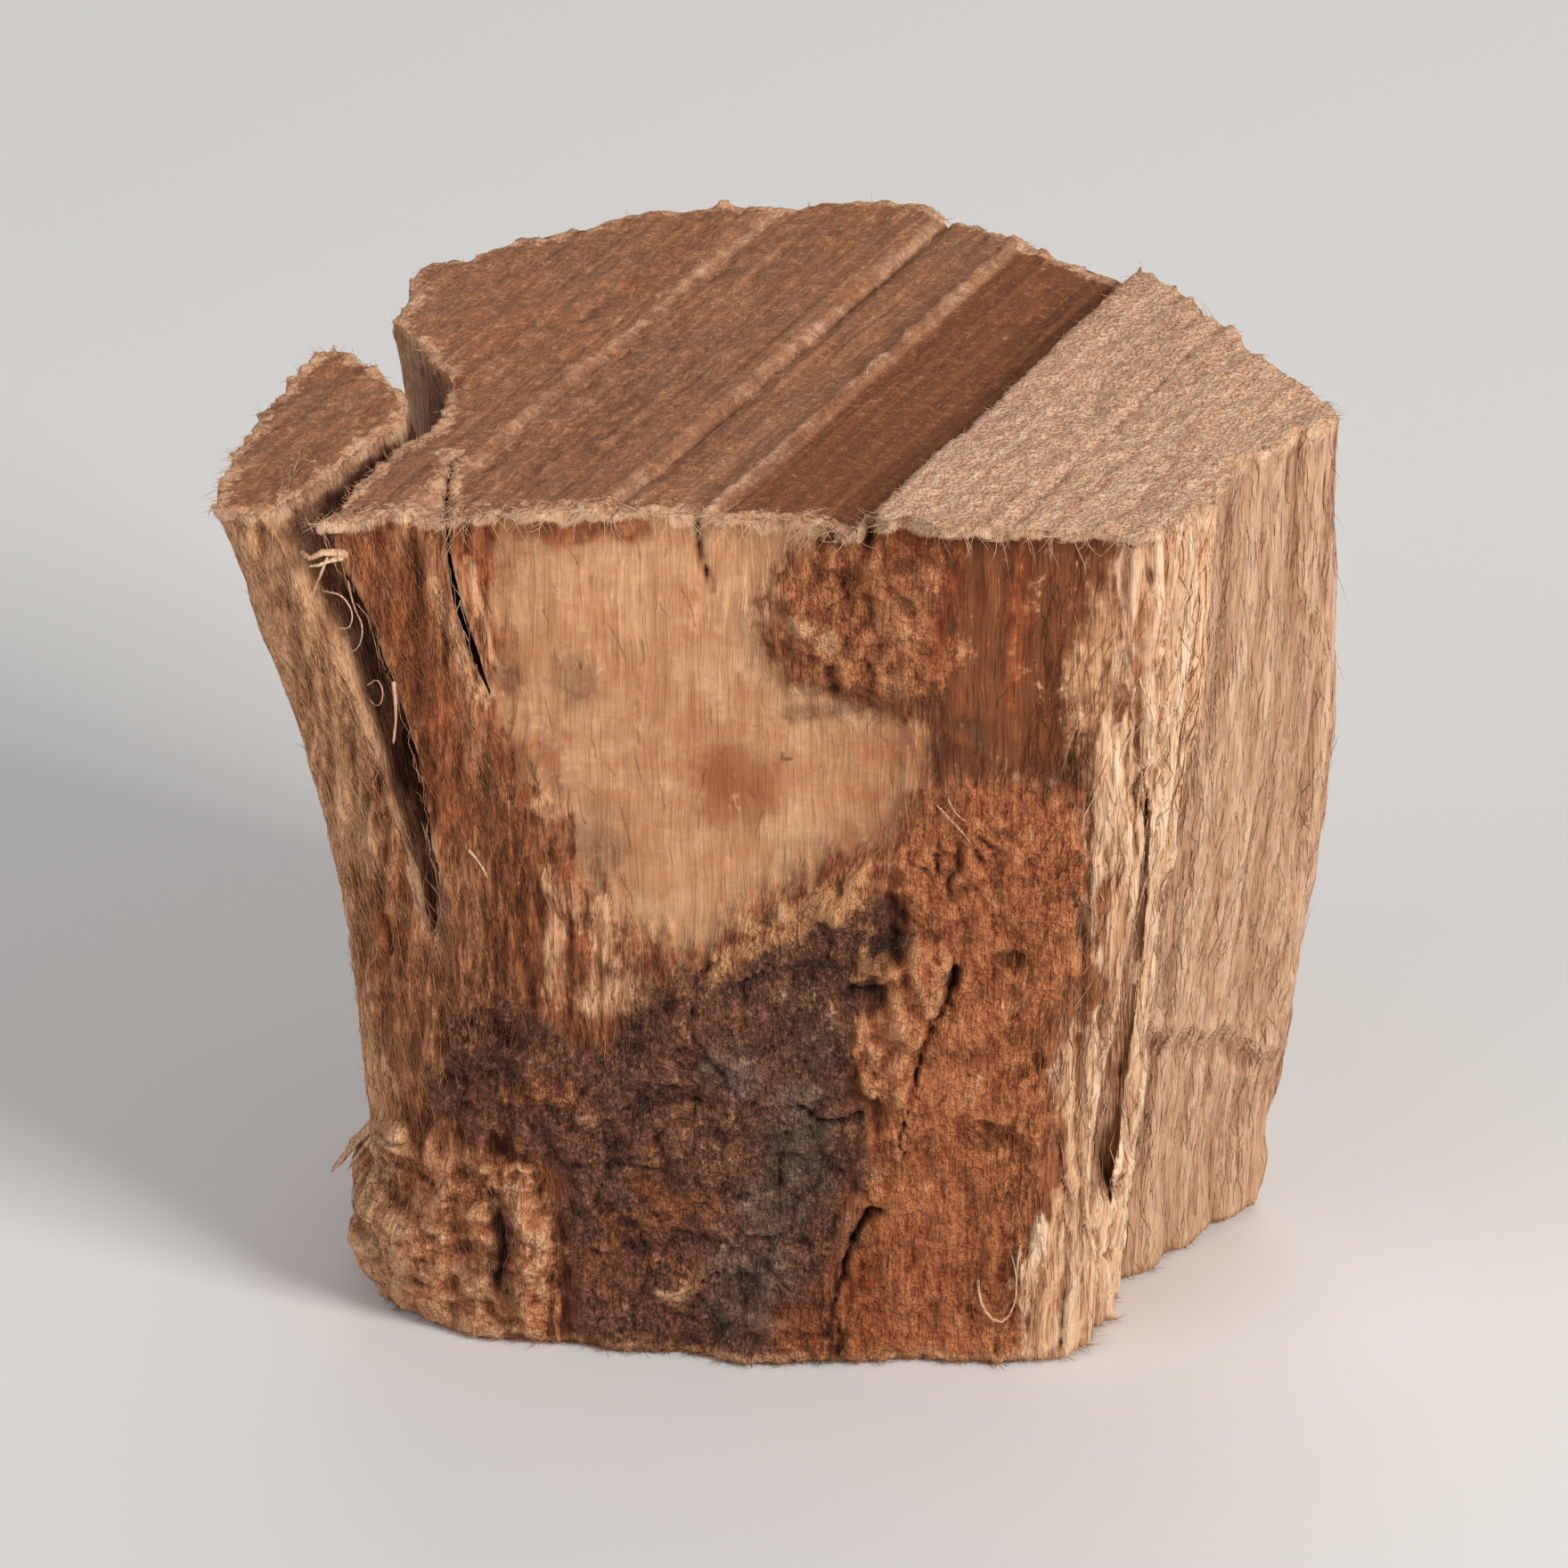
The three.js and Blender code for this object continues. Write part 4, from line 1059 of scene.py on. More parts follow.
def vectors(tree, operation, first, second):
    key = "Scale" if operation == "SCALE" else 1
    return sheet_node(tree, "ShaderNodeVectorMath", {0: first, key: second}, operation=operation).outputs[0]


def turned_place(tree, place, angle, axis):
    return sheet_node(
        tree, "ShaderNodeVectorRotate", {"Vector": place, "Angle": angle}, rotation_type=axis
    ).outputs[0]


def ranged(tree, value, start, end, first=0.0, last=1.0, how="LINEAR"):
    """The first number where the value is at the start, and the last where it is at the end."""
    given = {"Value": value, "From Min": start, "From Max": end, "To Min": first, "To Max": last}
    return sheet_node(tree, "ShaderNodeMapRange", given, interpolation_type=how).outputs[0]


smooth_step = partial(ranged, how="SMOOTHSTEP")


def waves(tree, place, scale, detail, roughness=0.6):
    given = {"Vector": place, "Scale": scale, "Detail": detail, "Roughness": roughness}
    return sheet_node(tree, "ShaderNodeTexNoise", given).outputs["Fac"]


def swayed(tree, place, sway, much):
    return vectors(tree, "ADD", place, vectors(tree, "SCALE", sway, much))


def drawn_out(tree, place, width, stretch):
    """The place measured in widths across the grain, and in lengths of width times stretch along it."""
    scale = maths(tree, "DIVIDE", 1.0, width)
    along = maths(tree, "DIVIDE", scale, stretch)
    scales = sheet_node(tree, "ShaderNodeCombineXYZ", {0: scale, 1: scale, 2: along}).outputs[0]
    return vectors(tree, "MULTIPLY", place, scales)


def blend(tree, factor, below, above, how="MIX"):
    given = {0: factor, 6: below, 7: above}
    return sheet_node(tree, "ShaderNodeMix", given, data_type="RGBA", blend_type=how).outputs[2]


def colour(red, green, blue):
    """A colour as a screen shows it, from 0 to 255, in the linear values that shaders use."""
    linear = [
        (v / 255 / 12.92) if v <= 10 else ((v / 255 + 0.055) / 1.055) ** 2.4 for v in (red, green, blue)
    ]
    return (*linear, 1)


def new_group(name, inputs, build):
    """Makes a group and gives back a function that adds it to a tree, with its inputs in their order.

    A number among the inputs is a default. The nodes come from build, which says what goes out.
    """
    group = bpy.data.node_groups.new(name, "ShaderNodeTree")
    for label, kind in inputs.items():
        number = isinstance(kind, float)
        made = group.interface.new_socket(label, in_out="INPUT", socket_type=FLOAT if number else kind)
        if number:
            made.default_value = kind
    given = group.nodes.new("NodeGroupInput").outputs
    results = build(group, *(given[label] for label in inputs))
    for label, socket in results.items():
        kind = COLOUR if socket.type == "RGBA" else FLOAT
        group.interface.new_socket(label, in_out="OUTPUT", socket_type=kind)
    ends = group.nodes.new("NodeGroupOutput").inputs
    for label, socket in results.items():
        group.links.new(socket, ends[label])

    def use(tree, *values):
        outputs = sheet_node(tree, "ShaderNodeGroup", dict(enumerate(values)), node_tree=group).outputs
        return outputs[0] if len(outputs) == 1 else outputs

    return use


def fibre_nodes(tree, place, sway, width, stretch, wander):
    bent = swayed(tree, place, sway, wander)
    found = {}
    for label, part, detail in (("Strands", 1.0, 2.0), ("Threads", 0.4, 1.0)):
        drawn = drawn_out(tree, bent, maths(tree, "MULTIPLY", width, part), stretch)
        found[label] = waves(tree, drawn, 1.0, detail)
    return found


def hair_nodes(tree, place, sway, width, stretch, curl):
    lines = []
    for shift, slant in ((0.0, 0.1), (31.7, -0.14)):
        bent = swayed(tree, vectors(tree, "ADD", place, (shift, shift, shift)), sway, curl)
        drawn = drawn_out(tree, turned_place(tree, bent, slant, "Y_AXIS"), width, stretch)
        middle = maths(tree, "ABSOLUTE", maths(tree, "SUBTRACT", waves(tree, drawn, 1.0, 1.0, 0.5), 0.5))
        lines.append(smooth_step(tree, middle, 0.075, 0.0))
    return {"Lines": maths(tree, "MAXIMUM", *lines)}


def frayed_nodes(tree, mask, fibre, reach):
    torn = maths(tree, "MULTIPLY", maths(tree, "SUBTRACT", fibre, 0.5), reach)
    return {"Mask": smooth_step(tree, maths(tree, "ADD", mask, torn), 0.16, 0.84)}


def tone_nodes(tree, value, dark, middle, light):
    low, high = (ranged(tree, value, *span) for span in ((0.32, 0.5), (0.5, 0.7)))
    return {"Colour": blend(tree, high, blend(tree, low, dark, middle), light)}


def mottle_nodes(tree, place, size, start, end, detail):
    cloud = waves(tree, place, maths(tree, "DIVIDE", 1.0, size), detail, 0.62)
    return {"Mask": smooth_step(tree, cloud, start, end)}


def crazing_nodes(tree, place, sway, size, width, warp):
    bent = vectors(tree, "MULTIPLY", swayed(tree, place, sway, warp), (1.0, 1.0, 0.7))
    given = {"Vector": bent, "Scale": maths(tree, "DIVIDE", 1.0, size)}
    plates = sheet_node(tree, "ShaderNodeTexVoronoi", given, feature="DISTANCE_TO_EDGE")
    return {"Lines": smooth_step(tree, plates.outputs["Distance"], width, 0.0)}


fibres = new_group("fibres", {**PLACED, "Width": 0.5, "Stretch": 14.0, "Wander": 0.6}, fibre_nodes)
hairs = new_group("hairs", {**PLACED, "Width": 0.4, "Stretch": 9.0, "Curl": 1.0}, hair_nodes)
frayed = new_group("frayed", {"Mask": 0.5, "Fibre": 0.5, "Reach": 1.6}, frayed_nodes)
three_tones = new_group(
    "tones", {"Value": 0.5, "Dark": COLOUR, "Middle": COLOUR, "Light": COLOUR}, tone_nodes
)
mottle = new_group(
    "mottle", {"Place": VECTOR, "Size": 2.0, "From": 0.4, "To": 0.6, "Detail": 2.0}, mottle_nodes
)
crazing = new_group("crazing", {**PLACED, "Size": 1.5, "Width": 0.07, "Warp": 1.0}, crazing_nodes)
print("node groups:", [g.name for g in bpy.data.node_groups])

# %% [markdown]
# ## The finish of bark and split wood
# One material covers all that was not sawn, because the layers run into each other. It starts with the
# stringy inner bark and lays the other layers over it by their masks: bare golden sapwood with its stains,
# brown bark, the dark crust, the knobs at the foot and the pale split wood. Every layer has fibres of its
# own tones, made lighter on raised places and darker in low ones as painted light and shade. Cracks,
# crevices and hollows get painted shade, and edges that frayed turn pale.

# %% Bark and split wood
def tones(tree, value, *shades):
    """A colour for each value, from a dark, a middle and a light shade."""
    return three_tones(tree, value, *(colour(*shade) for shade in shades))


def start_material(material):
    """Empties a material and gives back its tree, place, sway and shader, and a reader of masks."""
    tree = material.node_tree
    tree.nodes.clear()

    def mask(name):
        return sheet_node(tree, "ShaderNodeAttribute", attribute_name=name).outputs["Fac"]

    place = vectors(tree, "SCALE", sheet_node(tree, "ShaderNodeTexCoord").outputs["Object"], 1 / MM)
    sway = sheet_node(tree, "ShaderNodeCombineXYZ", {i: mask("sway_" + axis) for i, axis in enumerate("xyz")})
    sway = vectors(tree, "SUBTRACT", sway.outputs[0], (0.5, 0.5, 0.5))
    shader = sheet_node(tree, "ShaderNodeBsdfPrincipled", {"Specular IOR Level": 0.22})
    sheet_node(tree, "ShaderNodeOutputMaterial", {"Surface": shader.outputs[0]})
    return tree, place, sway, shader, mask


def tools_for(tree):
    """What both finishes use most, with the tree already given."""
    lay, tone, fray, total = (partial(tool, tree) for tool in (blend, tones, frayed, total_of))
    return lay, tone, fray, total, partial(chain, tree, "MULTIPLY"), partial(chain, tree, "MAXIMUM")


def raise_surface(tree, shader, height, distance):
    bump = sheet_node(tree, "ShaderNodeBump", {"Strength": 0.9, "Distance": distance * MM, "Height": height})
    tree.links.new(bump.outputs[0], shader.inputs["Normal"])


def dress_side(material):
    tree, place, sway, shader, mask = start_material(material)
    lay, tone, fray, total, times, most = tools_for(tree)
    coarse = fibres(tree, place, sway, 1.5, 26.0, 1.2)
    fine = fibres(tree, place, sway, 0.42, 20.0, 0.8)
    tear = fine["Strands"]
    hair = hairs(tree, place, sway, 0.5, 12.0, 1.3)
    wool = hairs(tree, place, sway, 0.45, 3.0, 1.6)
    crazes = crazing(tree, place, sway, 1.0, 0.07, 2.0)
    grit = mottle(tree, place, 0.45, 0.3, 0.7)
    flecks = mottle(tree, place, 0.34, 0.56, 0.7, 1.0)
    small_patches = mottle(tree, place, 1.3, 0.34, 0.66)
    blotches = mottle(tree, place, 2.8, 0.36, 0.64, 3.0)
    patches = mottle(tree, place, 5.0, 0.38, 0.62, 3.0)
    level = mottle(tree, vectors(tree, "MULTIPLY", place, (0.12, 0.12, 1.7)), 1.0, 0.44, 0.7)
    # High lifts the tones of raised places and lowers those of low ones: painted light and painted shade.
    high = mask("high")

    woody = total((coarse["Strands"], 0.4), (tear, 0.45), (fine["Threads"], 0.25), (high, 0.3))
    woody = maths(tree, "SUBTRACT", woody, 0.2)
    hairy = total((woody, 0.8), (hair, 0.12), (small_patches, 0.08), (blotches, 0.08), (high, 0.12))
    barky = total((grit, 0.17), (small_patches, 0.14), (blotches, 0.1), (high, 0.23), (wool, 0.06))
    barky = maths(tree, "ADD", barky, 0.15)

    def grain(bark):
        """A value for tones: so much of bark's grit, and hairs for the rest."""
        return total((barky, bark), (hairy, 1 - bark))

    inner = tone(hairy, (63, 33, 21), (103, 56, 35), (152, 96, 62))
    reddish = tone(hairy, (76, 39, 23), (114, 61, 37), (160, 96, 60))
    still = tone(total((woody, 0.5), (coarse["Strands"], 0.5)), (83, 44, 25), (110, 60, 34), (141, 82, 48))
    inner = lay(times(patches, 0.8), inner, reddish)
    inner = lay(times(mask("smooth"), 0.75), inner, still)

    gold = tone(woody, (184, 136, 96), (204, 158, 117), (222, 182, 144))
    deep_gold = tone(woody, (160, 108, 70), (184, 132, 92), (204, 156, 114))
    gold = lay(patches, gold, deep_gold)
    gold = lay(times(grit, 0.26), gold, colour(150, 100, 70))
    gold = lay(times(blotches, 0.28), gold, colour(170, 112, 72))
    gold = lay(times(level, 0.16), gold, colour(158, 104, 68))
    gold = lay(mask("ring"), gold, colour(138, 76, 42))

    crust = tone(barky, (57, 32, 22), (97, 56, 38), (145, 95, 68))
    dim = tone(barky, (47, 31, 24), (75, 49, 36), (112, 79, 58))
    ruddy = tone(barky, (82, 45, 30), (127, 76, 50), (170, 112, 78))
    crust = lay(times(patches, 0.8), crust, dim)
    crust = lay(times(blotches, 0.45), crust, ruddy)
    crust = lay(times(wool, 0.22), crust, colour(150, 112, 88))

    strip = tone(woody, (168, 112, 76), (222, 178, 140), (242, 214, 182))
    face = tone(total((woody, 0.7), (hairy, 0.3)), (150, 106, 77), (192, 149, 117), (217, 181, 150))
    plain = tone(total((woody, 0.6), (hairy, 0.4)), (148, 104, 74), (190, 145, 110), (216, 176, 142))
    split = lay(mask("face"), strip, face)
    split = lay(mask("behind"), split, plain)

    scatter = total((tear, 0.45), (small_patches, 0.2), (grit, 0.15), (blotches, 0.2))
    base = lay(fray(mask("bare"), scatter, 1.1), inner, gold)
    base = lay(mask("old"), base, tone(hairy, (80, 43, 27), (134, 80, 50), (186, 126, 88)))
    layers = {
        "brown": tone(grain(0.45), (94, 47, 28), (160, 91, 55), (204, 130, 83)),
        "bast": tone(grain(0.5), (90, 47, 28), (156, 89, 54), (206, 142, 96)),
        "crust": crust,
        "knobs": tone(grain(0.7), (112, 64, 42), (190, 120, 79), (236, 178, 132)),
        "ridge": tone(grain(0.5), (108, 60, 36), (168, 99, 61), (214, 150, 104)),
        "lip": tone(hairy, (88, 50, 31), (148, 89, 54), (204, 148, 102)),
    }
    for name, paint in layers.items():
        base = lay(fray(mask(name), scatter, 1.2), base, paint)
    base = lay(fray(mask("split"), total((tear, 0.6), (scatter, 0.4)), 1.5), base, split)
    base = lay(mask("wall"), base, tone(hairy, (100, 62, 42), (160, 114, 84), (196, 156, 124)))

    rust = tone(grain(0.4), (74, 31, 15), (121, 57, 28), (170, 95, 53))
    ash = tone(grain(0.6), (60, 48, 39), (98, 82, 68), (142, 122, 102))
    damp = tone(barky, (82, 53, 39), (126, 86, 62), (172, 128, 96))
    ash = lay(mask("crust"), damp, ash)
    cream = tone(hairy, (150, 96, 62), (198, 142, 100), (226, 178, 136))
    for name, paint, strength in (("rust", rust, 0.8), ("ash", ash, 0.65), ("cream", cream, 0.78)):
        base = lay(times(fray(mask(name), scatter, 0.7), strength), base, paint)
    # Darkens by the dark spots and lines: stains, and painted shade in hollows, cracks and under raised bark.
    soot = times(fray(mask("soot"), scatter, 0.6), 0.7)
    base = lay(soot, base, colour(74, 50, 38), "MULTIPLY")

    hard = most(mask("crust"), mask("ridge"), mask("knobs"), times(most(mask("brown"), mask("bast")), 0.7))
    crazed = times(crazes, total((blotches, 0.5), (small_patches, 0.2)), hard)
    base = lay(crazed, base, colour(70, 42, 32), "MULTIPLY")
    base = lay(times(flecks, hard, 0.3), base, colour(188, 136, 102))
    # Painted shade in cracks, crevices, seams and hollows, from the crack mask.
    base = lay(times(mask("crack"), 0.75), base, colour(36, 21, 15))
    # Painted shade in the relief's low places: where proud is low the colour is darkened, less so on split
    # wood.
    low = ranged(tree, mask("proud"), 0.05, 0.5, 0.45, 0.0)
    shaded = times(low, maths(tree, "MULTIPLY_ADD", mask("split"), -0.6, 1.0))
    base = lay(shaded, base, colour(96, 58, 40), "MULTIPLY")
    foot_edge = tone(hairy, (92, 52, 32), (150, 96, 62), (200, 150, 112))
    base = lay(times(fray(mask("foot_rim"), scatter, 1.0), 0.6), base, foot_edge)
    edge = tone(hairy, (156, 108, 78), (202, 154, 118), (230, 194, 161))
    base = lay(times(fray(mask("rim"), scatter, 1.2), 0.75), base, edge)
    tree.links.new(base, shader.inputs["Base Color"])

    rough = ranged(tree, fine["Threads"], 0.0, 1.0, 0.98, 0.78)
    tree.links.new(rough, shader.inputs["Roughness"])
    grainy = most(mask("crust"), mask("bast"), mask("brown"), mask("knobs"))
    calm = times(most(mask("bare"), times(mask("smooth"), 0.7)), 0.7)
    drawn = times(total((tear, 1.2), (fine["Threads"], 0.7)), maths(tree, "SUBTRACT", 1.0, calm))
    raise_surface(tree, shader, total((times(grit, grainy), 0.65), (drawn, 1.0)), 0.5)


# %% [markdown]
# ## The finish of the sawn ends
# End grain is darker than the sides, because the open ends of the fibres swallow light. Across it run the
# saw's fine lines, so the place is turned to the saw's direction before it is drawn out. One band was cut
# smooth and looks darker, and to its right the cut is woolly and pale. Along the front the top is painted
# paler, as painted light that fades towards the back.

# %% Sawn ends
def dress_end(material, pale):
    tree, place, sway, shader, mask = start_material(material)
    lay, tone, fray, total, times, most = tools_for(tree)
    along_marks = turned_place(tree, place, math.pi / 2 - SAW_ANGLE, "Z_AXIS")
    marks = waves(tree, vectors(tree, "MULTIPLY", along_marks, (1.6, 0.03, 1.0)), 1.0, 2.5)
    wool = hairs(tree, place, sway, 0.5, 1.4, 2.4)
    fuzz = mottle(tree, place, 0.3, 0.3, 0.7, 1.0)
    specks = mottle(tree, place, 0.7, 0.42, 0.68)
    small_patches = mottle(tree, place, 2.4, 0.4, 0.62)
    patches = mottle(tree, place, 8.0, 0.38, 0.62, 3.0)
    woolly = maths(tree, "MULTIPLY_ADD", mask("fuzzy"), 0.6, 0.4)
    furry = times(total((fuzz, 0.18), (wool, 0.08)), woolly)
    value = maths(tree, "ADD", total((furry, 1.0), (specks, 0.12), (marks, 0.5)), 0.13)

    main = tone(value, (124, 78, 54), (164, 112, 81), (198, 149, 115))
    warm = tone(value, (128, 79, 52), (170, 113, 78), (202, 150, 112))
    band = tone(value, (103, 59, 36), (134, 81, 51), (160, 103, 70))
    fuzzy = tone(value, (164, 116, 89), (211, 163, 131), (235, 198, 167))
    rim = tone(value, (166, 116, 86), (214, 165, 129), (238, 202, 170))
    end = lay(patches, main, warm)
    end = lay(times(small_patches, 0.3), end, colour(118, 84, 64))
    end = lay(mask("band"), end, band)
    end = lay(mask("fuzzy"), end, fuzzy)
    end = lay(times(mask("step"), 0.8), end, fuzzy)
    # Pale frayed rims, and painted light along the front of the top.
    edge = most(mask("rim"), times(mask("front_edge"), 0.7))
    end = lay(times(fray(edge, total((fuzz, 0.5), (specks, 0.5)), 0.8), 0.8), end, rim)
    if pale:
        end = lay(0.35, end, colour(186, 146, 116))
    tree.links.new(end, shader.inputs["Base Color"])
    shader.inputs["Roughness"].default_value = 0.92
    height = times(total((fuzz, 0.55), (specks, 0.35)), woolly)
    raise_surface(tree, shader, total((height, 1.0), (marks, 0.45)), 0.3)


dress_side(side_paint)
dress_side(wall_paint)
dress_end(top_paint, False)
dress_end(foot_paint, True)
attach(chunk, "root")
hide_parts("wood_chunk")

# %% [markdown]
# ## Loose fibres
# Split and sawn wood is never clean: thousands of fibres have come away at one end and stand or hang off
# the surface. Each is a thin closed tube of three sides, or up to six on a big one, that narrows to a point.
# They could be hair curves, but hair is lost when the model is exported, so they are meshes. A fibre takes
# its masks from the point of the block it grows on, so it has the colour of the wood beneath.

# %% Tubes
rng = np.random.default_rng(11)
OWN_SHADE = 0.2
FADED = 0.3


def tubes(name, paths, radii, material, roots, lighter, paint=None, sides=3):
    """Closed tubes along paths (fibre, point, xyz), with the masks of the block's points in roots.

    Lighter is added to how high they count, which paints them paler as painted light; paint sets masks
    outright.
    """
    count, length = paths.shape[:2]
    ahead = np.gradient(paths, axis=1)
    ahead /= np.linalg.norm(ahead, axis=-1, keepdims=True) + 1e-9
    aside = np.cross(ahead, [0.31, 0.52, 0.79])
    aside /= np.linalg.norm(aside, axis=-1, keepdims=True) + 1e-9
    over = np.cross(ahead, aside)
    turns = np.arange(sides) * 2 * math.pi / sides
    rings = np.stack([aside * math.cos(t) + over * math.sin(t) for t in turns], axis=2)
    rings = paths[:, :, None] + rings * radii[:, :, None, None]
    body = rings[:, :-1].reshape(count, -1, 3)
    places = np.concatenate([body, paths[:, -1:]], axis=1)
    each = places.shape[1]
    faces = [[0, j + 1, j] for j in range(1, sides - 1)]
    for i in range(length - 2):
        for j in range(sides):
            a, b = sides * i + j, sides * i + (j + 1) % sides
            faces += [[a, b, b + sides], [a, b + sides, a + sides]]
    last = sides * (length - 2)
    faces += [[last + j, last + (j + 1) % sides, each - 1] for j in range(sides)]
    faces = np.array(faces)[None] + np.arange(count)[:, None, None] * each
    made = make_mesh(name, places.reshape(-1, 3), faces.reshape(-1, 3).tolist())
    made.data.materials.append(material)
    made.data.polygons.foreach_set("use_smooth", np.ones(len(made.data.polygons), bool))
    own = rng.uniform(-OWN_SHADE, OWN_SHADE, count)
    # Fibres stand off the relief: they keep only part of the painted shade of cracks and dark spots, none of
    # the painted shade of hollows, and high adds painted light.
    for label, values in attributes.items():
        copied = values[roots].astype(float)
        if label == "high":
            copied = copied + lighter + own
        if label in ("crack", "soot"):
            copied = copied * FADED
        if label == "proud":
            copied = np.maximum(copied, 0.5)
        if label in (paint or {}):
            copied = np.full(count, float(paint[label]))
        write_attribute(made.data, label, np.repeat(copied, each))
    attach(made, "root")
    print(name, count, "fibres,", len(made.data.polygons), "triangles")
    return made


on_block = partial(nearest, tree_of(points))
print("points to grow fibres on:", len(points))

# %% [markdown]
# ## Fibres that lie along the grain
# On the sides most loose fibres still lie along the grain and only their tips lift. So each path is drawn on
# the unrolled side, as a place round the block and a height, and then set on the relief. Where a split
# was cut away there is nothing to lie on, and a path that starts there is dropped.

# %% Lying fibres
ROOT_NEAR, MIDDLE_NEAR, TIP_NEAR = 0.45, 0.7, 1.3
row_step = heights[1] - heights[0]


def side_place(s, z, lift):
    """Places on the relief, raised by a lift, from places round the block and heights."""
    s = np.mod(s, AROUND)
    column = np.interp(s, np.append(columns, AROUND), np.arange(len(columns) + 1))
    row = np.clip((z - heights[0]) / row_step, 0, len(heights) - 1.001)
    c, r = np.floor(column).astype(int), np.floor(row).astype(int)
    u, v = column - c, row - r
    nxt, c = (c + 1) % len(columns), c % len(columns)
    relief = mix(mix(out[r, c], out[r, nxt], u), mix(out[r + 1, c], out[r + 1, nxt], u), v)
    flat = outline(s, z) + outward(s, z) * (relief + lift)[..., None]
    return np.concatenate([flat, z[..., None]], axis=-1)


def lying(name, count, places, levels, long, thick, stray, lift, knots=5, keep=None, lighter=0.05):
    """Fibres between two places round the block and two heights; lift is how far their tips stand off."""
    s = rng.uniform(*places, count)[:, None]
    z = rng.uniform(*levels, count)[:, None]
    reach = rng.uniform(*long, count)[:, None] * rng.choice([-1, 1], count)[:, None]
    t = np.linspace(0, 1, knots)[None, :]
    swerve = rng.normal(0, stray, (count, 1)) * t + rng.normal(0, 0.6 * stray, (count, 1)) * t**2
    swerve = swerve + rng.normal(0, 0.05, (count, knots)).cumsum(axis=1)
    path_s = s + swerve * np.abs(reach)
    path_z = z + reach * t
    rise = 0.02 + rng.exponential(lift, (count, 1)) * t**2
    paths = side_place(path_s, path_z, np.minimum(rise, 1.8))
    roots, away = on_block(paths[:, 0])
    _, far = on_block(paths[:, knots // 2])
    _, end = on_block(paths[:, -1])
    up = paths[:, :, 2]
    good = (away < ROOT_NEAR) & (far < MIDDLE_NEAR) & (end < TIP_NEAR)
    good &= (up.min(axis=1) > 0.05) & (up.max(axis=1) < HEIGHT + 1)
    if keep is not None:
        good &= rng.uniform(0, 1, count) < keep(roots)
    paths, roots = paths[good], roots[good]
    radii = rng.uniform(*thick, len(paths))[:, None] * (1 - 0.75 * t)
    return tubes(name, paths, radii, side_paint, roots, lighter)


def not_bare(roots):
    """How likely a fibre is kept at each root: few on bare wood, crust and the smooth inner bark."""
    calm = np.maximum(attributes["bare"], 0.7 * np.maximum(attributes["crust"], attributes["smooth"]))[roots]
    return np.clip(1.05 - calm, 0.05, 1)


LANDMARKS = (
    "sliver_front_left", "sliver_front_right", "front_left", "right_front", "right_fold", "right_back"
)
left, left_end, strip_end, corner_at, fold, right_end = (along_at[name] for name in LANDMARKS)
whole = {"keep": not_bare}
long_ones = {"knots": 6}
LYING = {
    # how many, places round the block, heights, lengths, half thicknesses, how stray, how lifted, and more
    "fibres_left": (2200, (left - 7, strip_end + 9), (1, 68), (1.5, 5), (0.03, 0.06), 0.12, 0.12, whole),
    "fibres_front": (
        1600, (strip_end + 5, corner_at - 4), (0.6, 68), (0.8, 2.6), (0.025, 0.045), 0.25, 0.1, whole
    ),
    "fibres_split": (
        1000, (corner_at - 8, fold + 4), (0.5, 68), (3, 11), (0.03, 0.06), 0.035, 0.07, long_ones
    ),
    "fibres_right": (700, (fold, right_end), (0.5, 68), (1.5, 5), (0.025, 0.045), 0.1, 0.12, {}),
    "fibres_back": (900, (right_end, AROUND - 6), (0.5, 68), (2, 7), (0.04, 0.08), 0.08, 0.15, {}),
    "strands_sliver": (
        800, (left - 1.5, left_end + 2.5), (20, 67.5), (3, 9), (0.035, 0.07), 0.03, 0.05,
        {"knots": 6, "lighter": 0.3}
    ),
    "strands_left": (
        600, (left_end + 1.5, strip_end - 1), (22, 67.5), (2, 7), (0.035, 0.06), 0.05, 0.07,
        {"knots": 6, "lighter": 0.12}
    ),
    "hairs_right_edge": (
        55, (right_end - 3, right_end + 3), (22, 66), (1.5, 4), (0.028, 0.04), 0.3, 0.7, {"knots": 7}
    ),
    "hairs_left_edge": (160, (AROUND - 7, AROUND + 1), (12, 66), (0.6, 1.8), (0.025, 0.04), 0.35, 0.3, {}),
}
for name, (*numbers, more) in LYING.items():
    lying(name, *numbers, **more)

# %% [markdown]
# ## Fuzz along the sawn edges
# A saw tears the last fibres off instead of cutting them, so a sawn edge carries short curly fuzz, mostly at
# the front where the bark was soft. The woolly part of the top has the same fuzz lying flat. Each fibre
# starts at a point of the mesh and bends twice on its way out.

# %% Fuzz
# Torn fibres are painted pale, with no bark colours, no stains and none of the painted shade of dark spots.
TORN = {"rim": 1, "cream": 1, "crust": 0, "knobs": 0, "soot": 0, "rust": 0, "ash": 0, "brown": 0, "wall": 0}


MOST_BENT, MOST_ABOVE_ROOT, FLOOR_CLEAR = 1.2, 0.9, 0.06


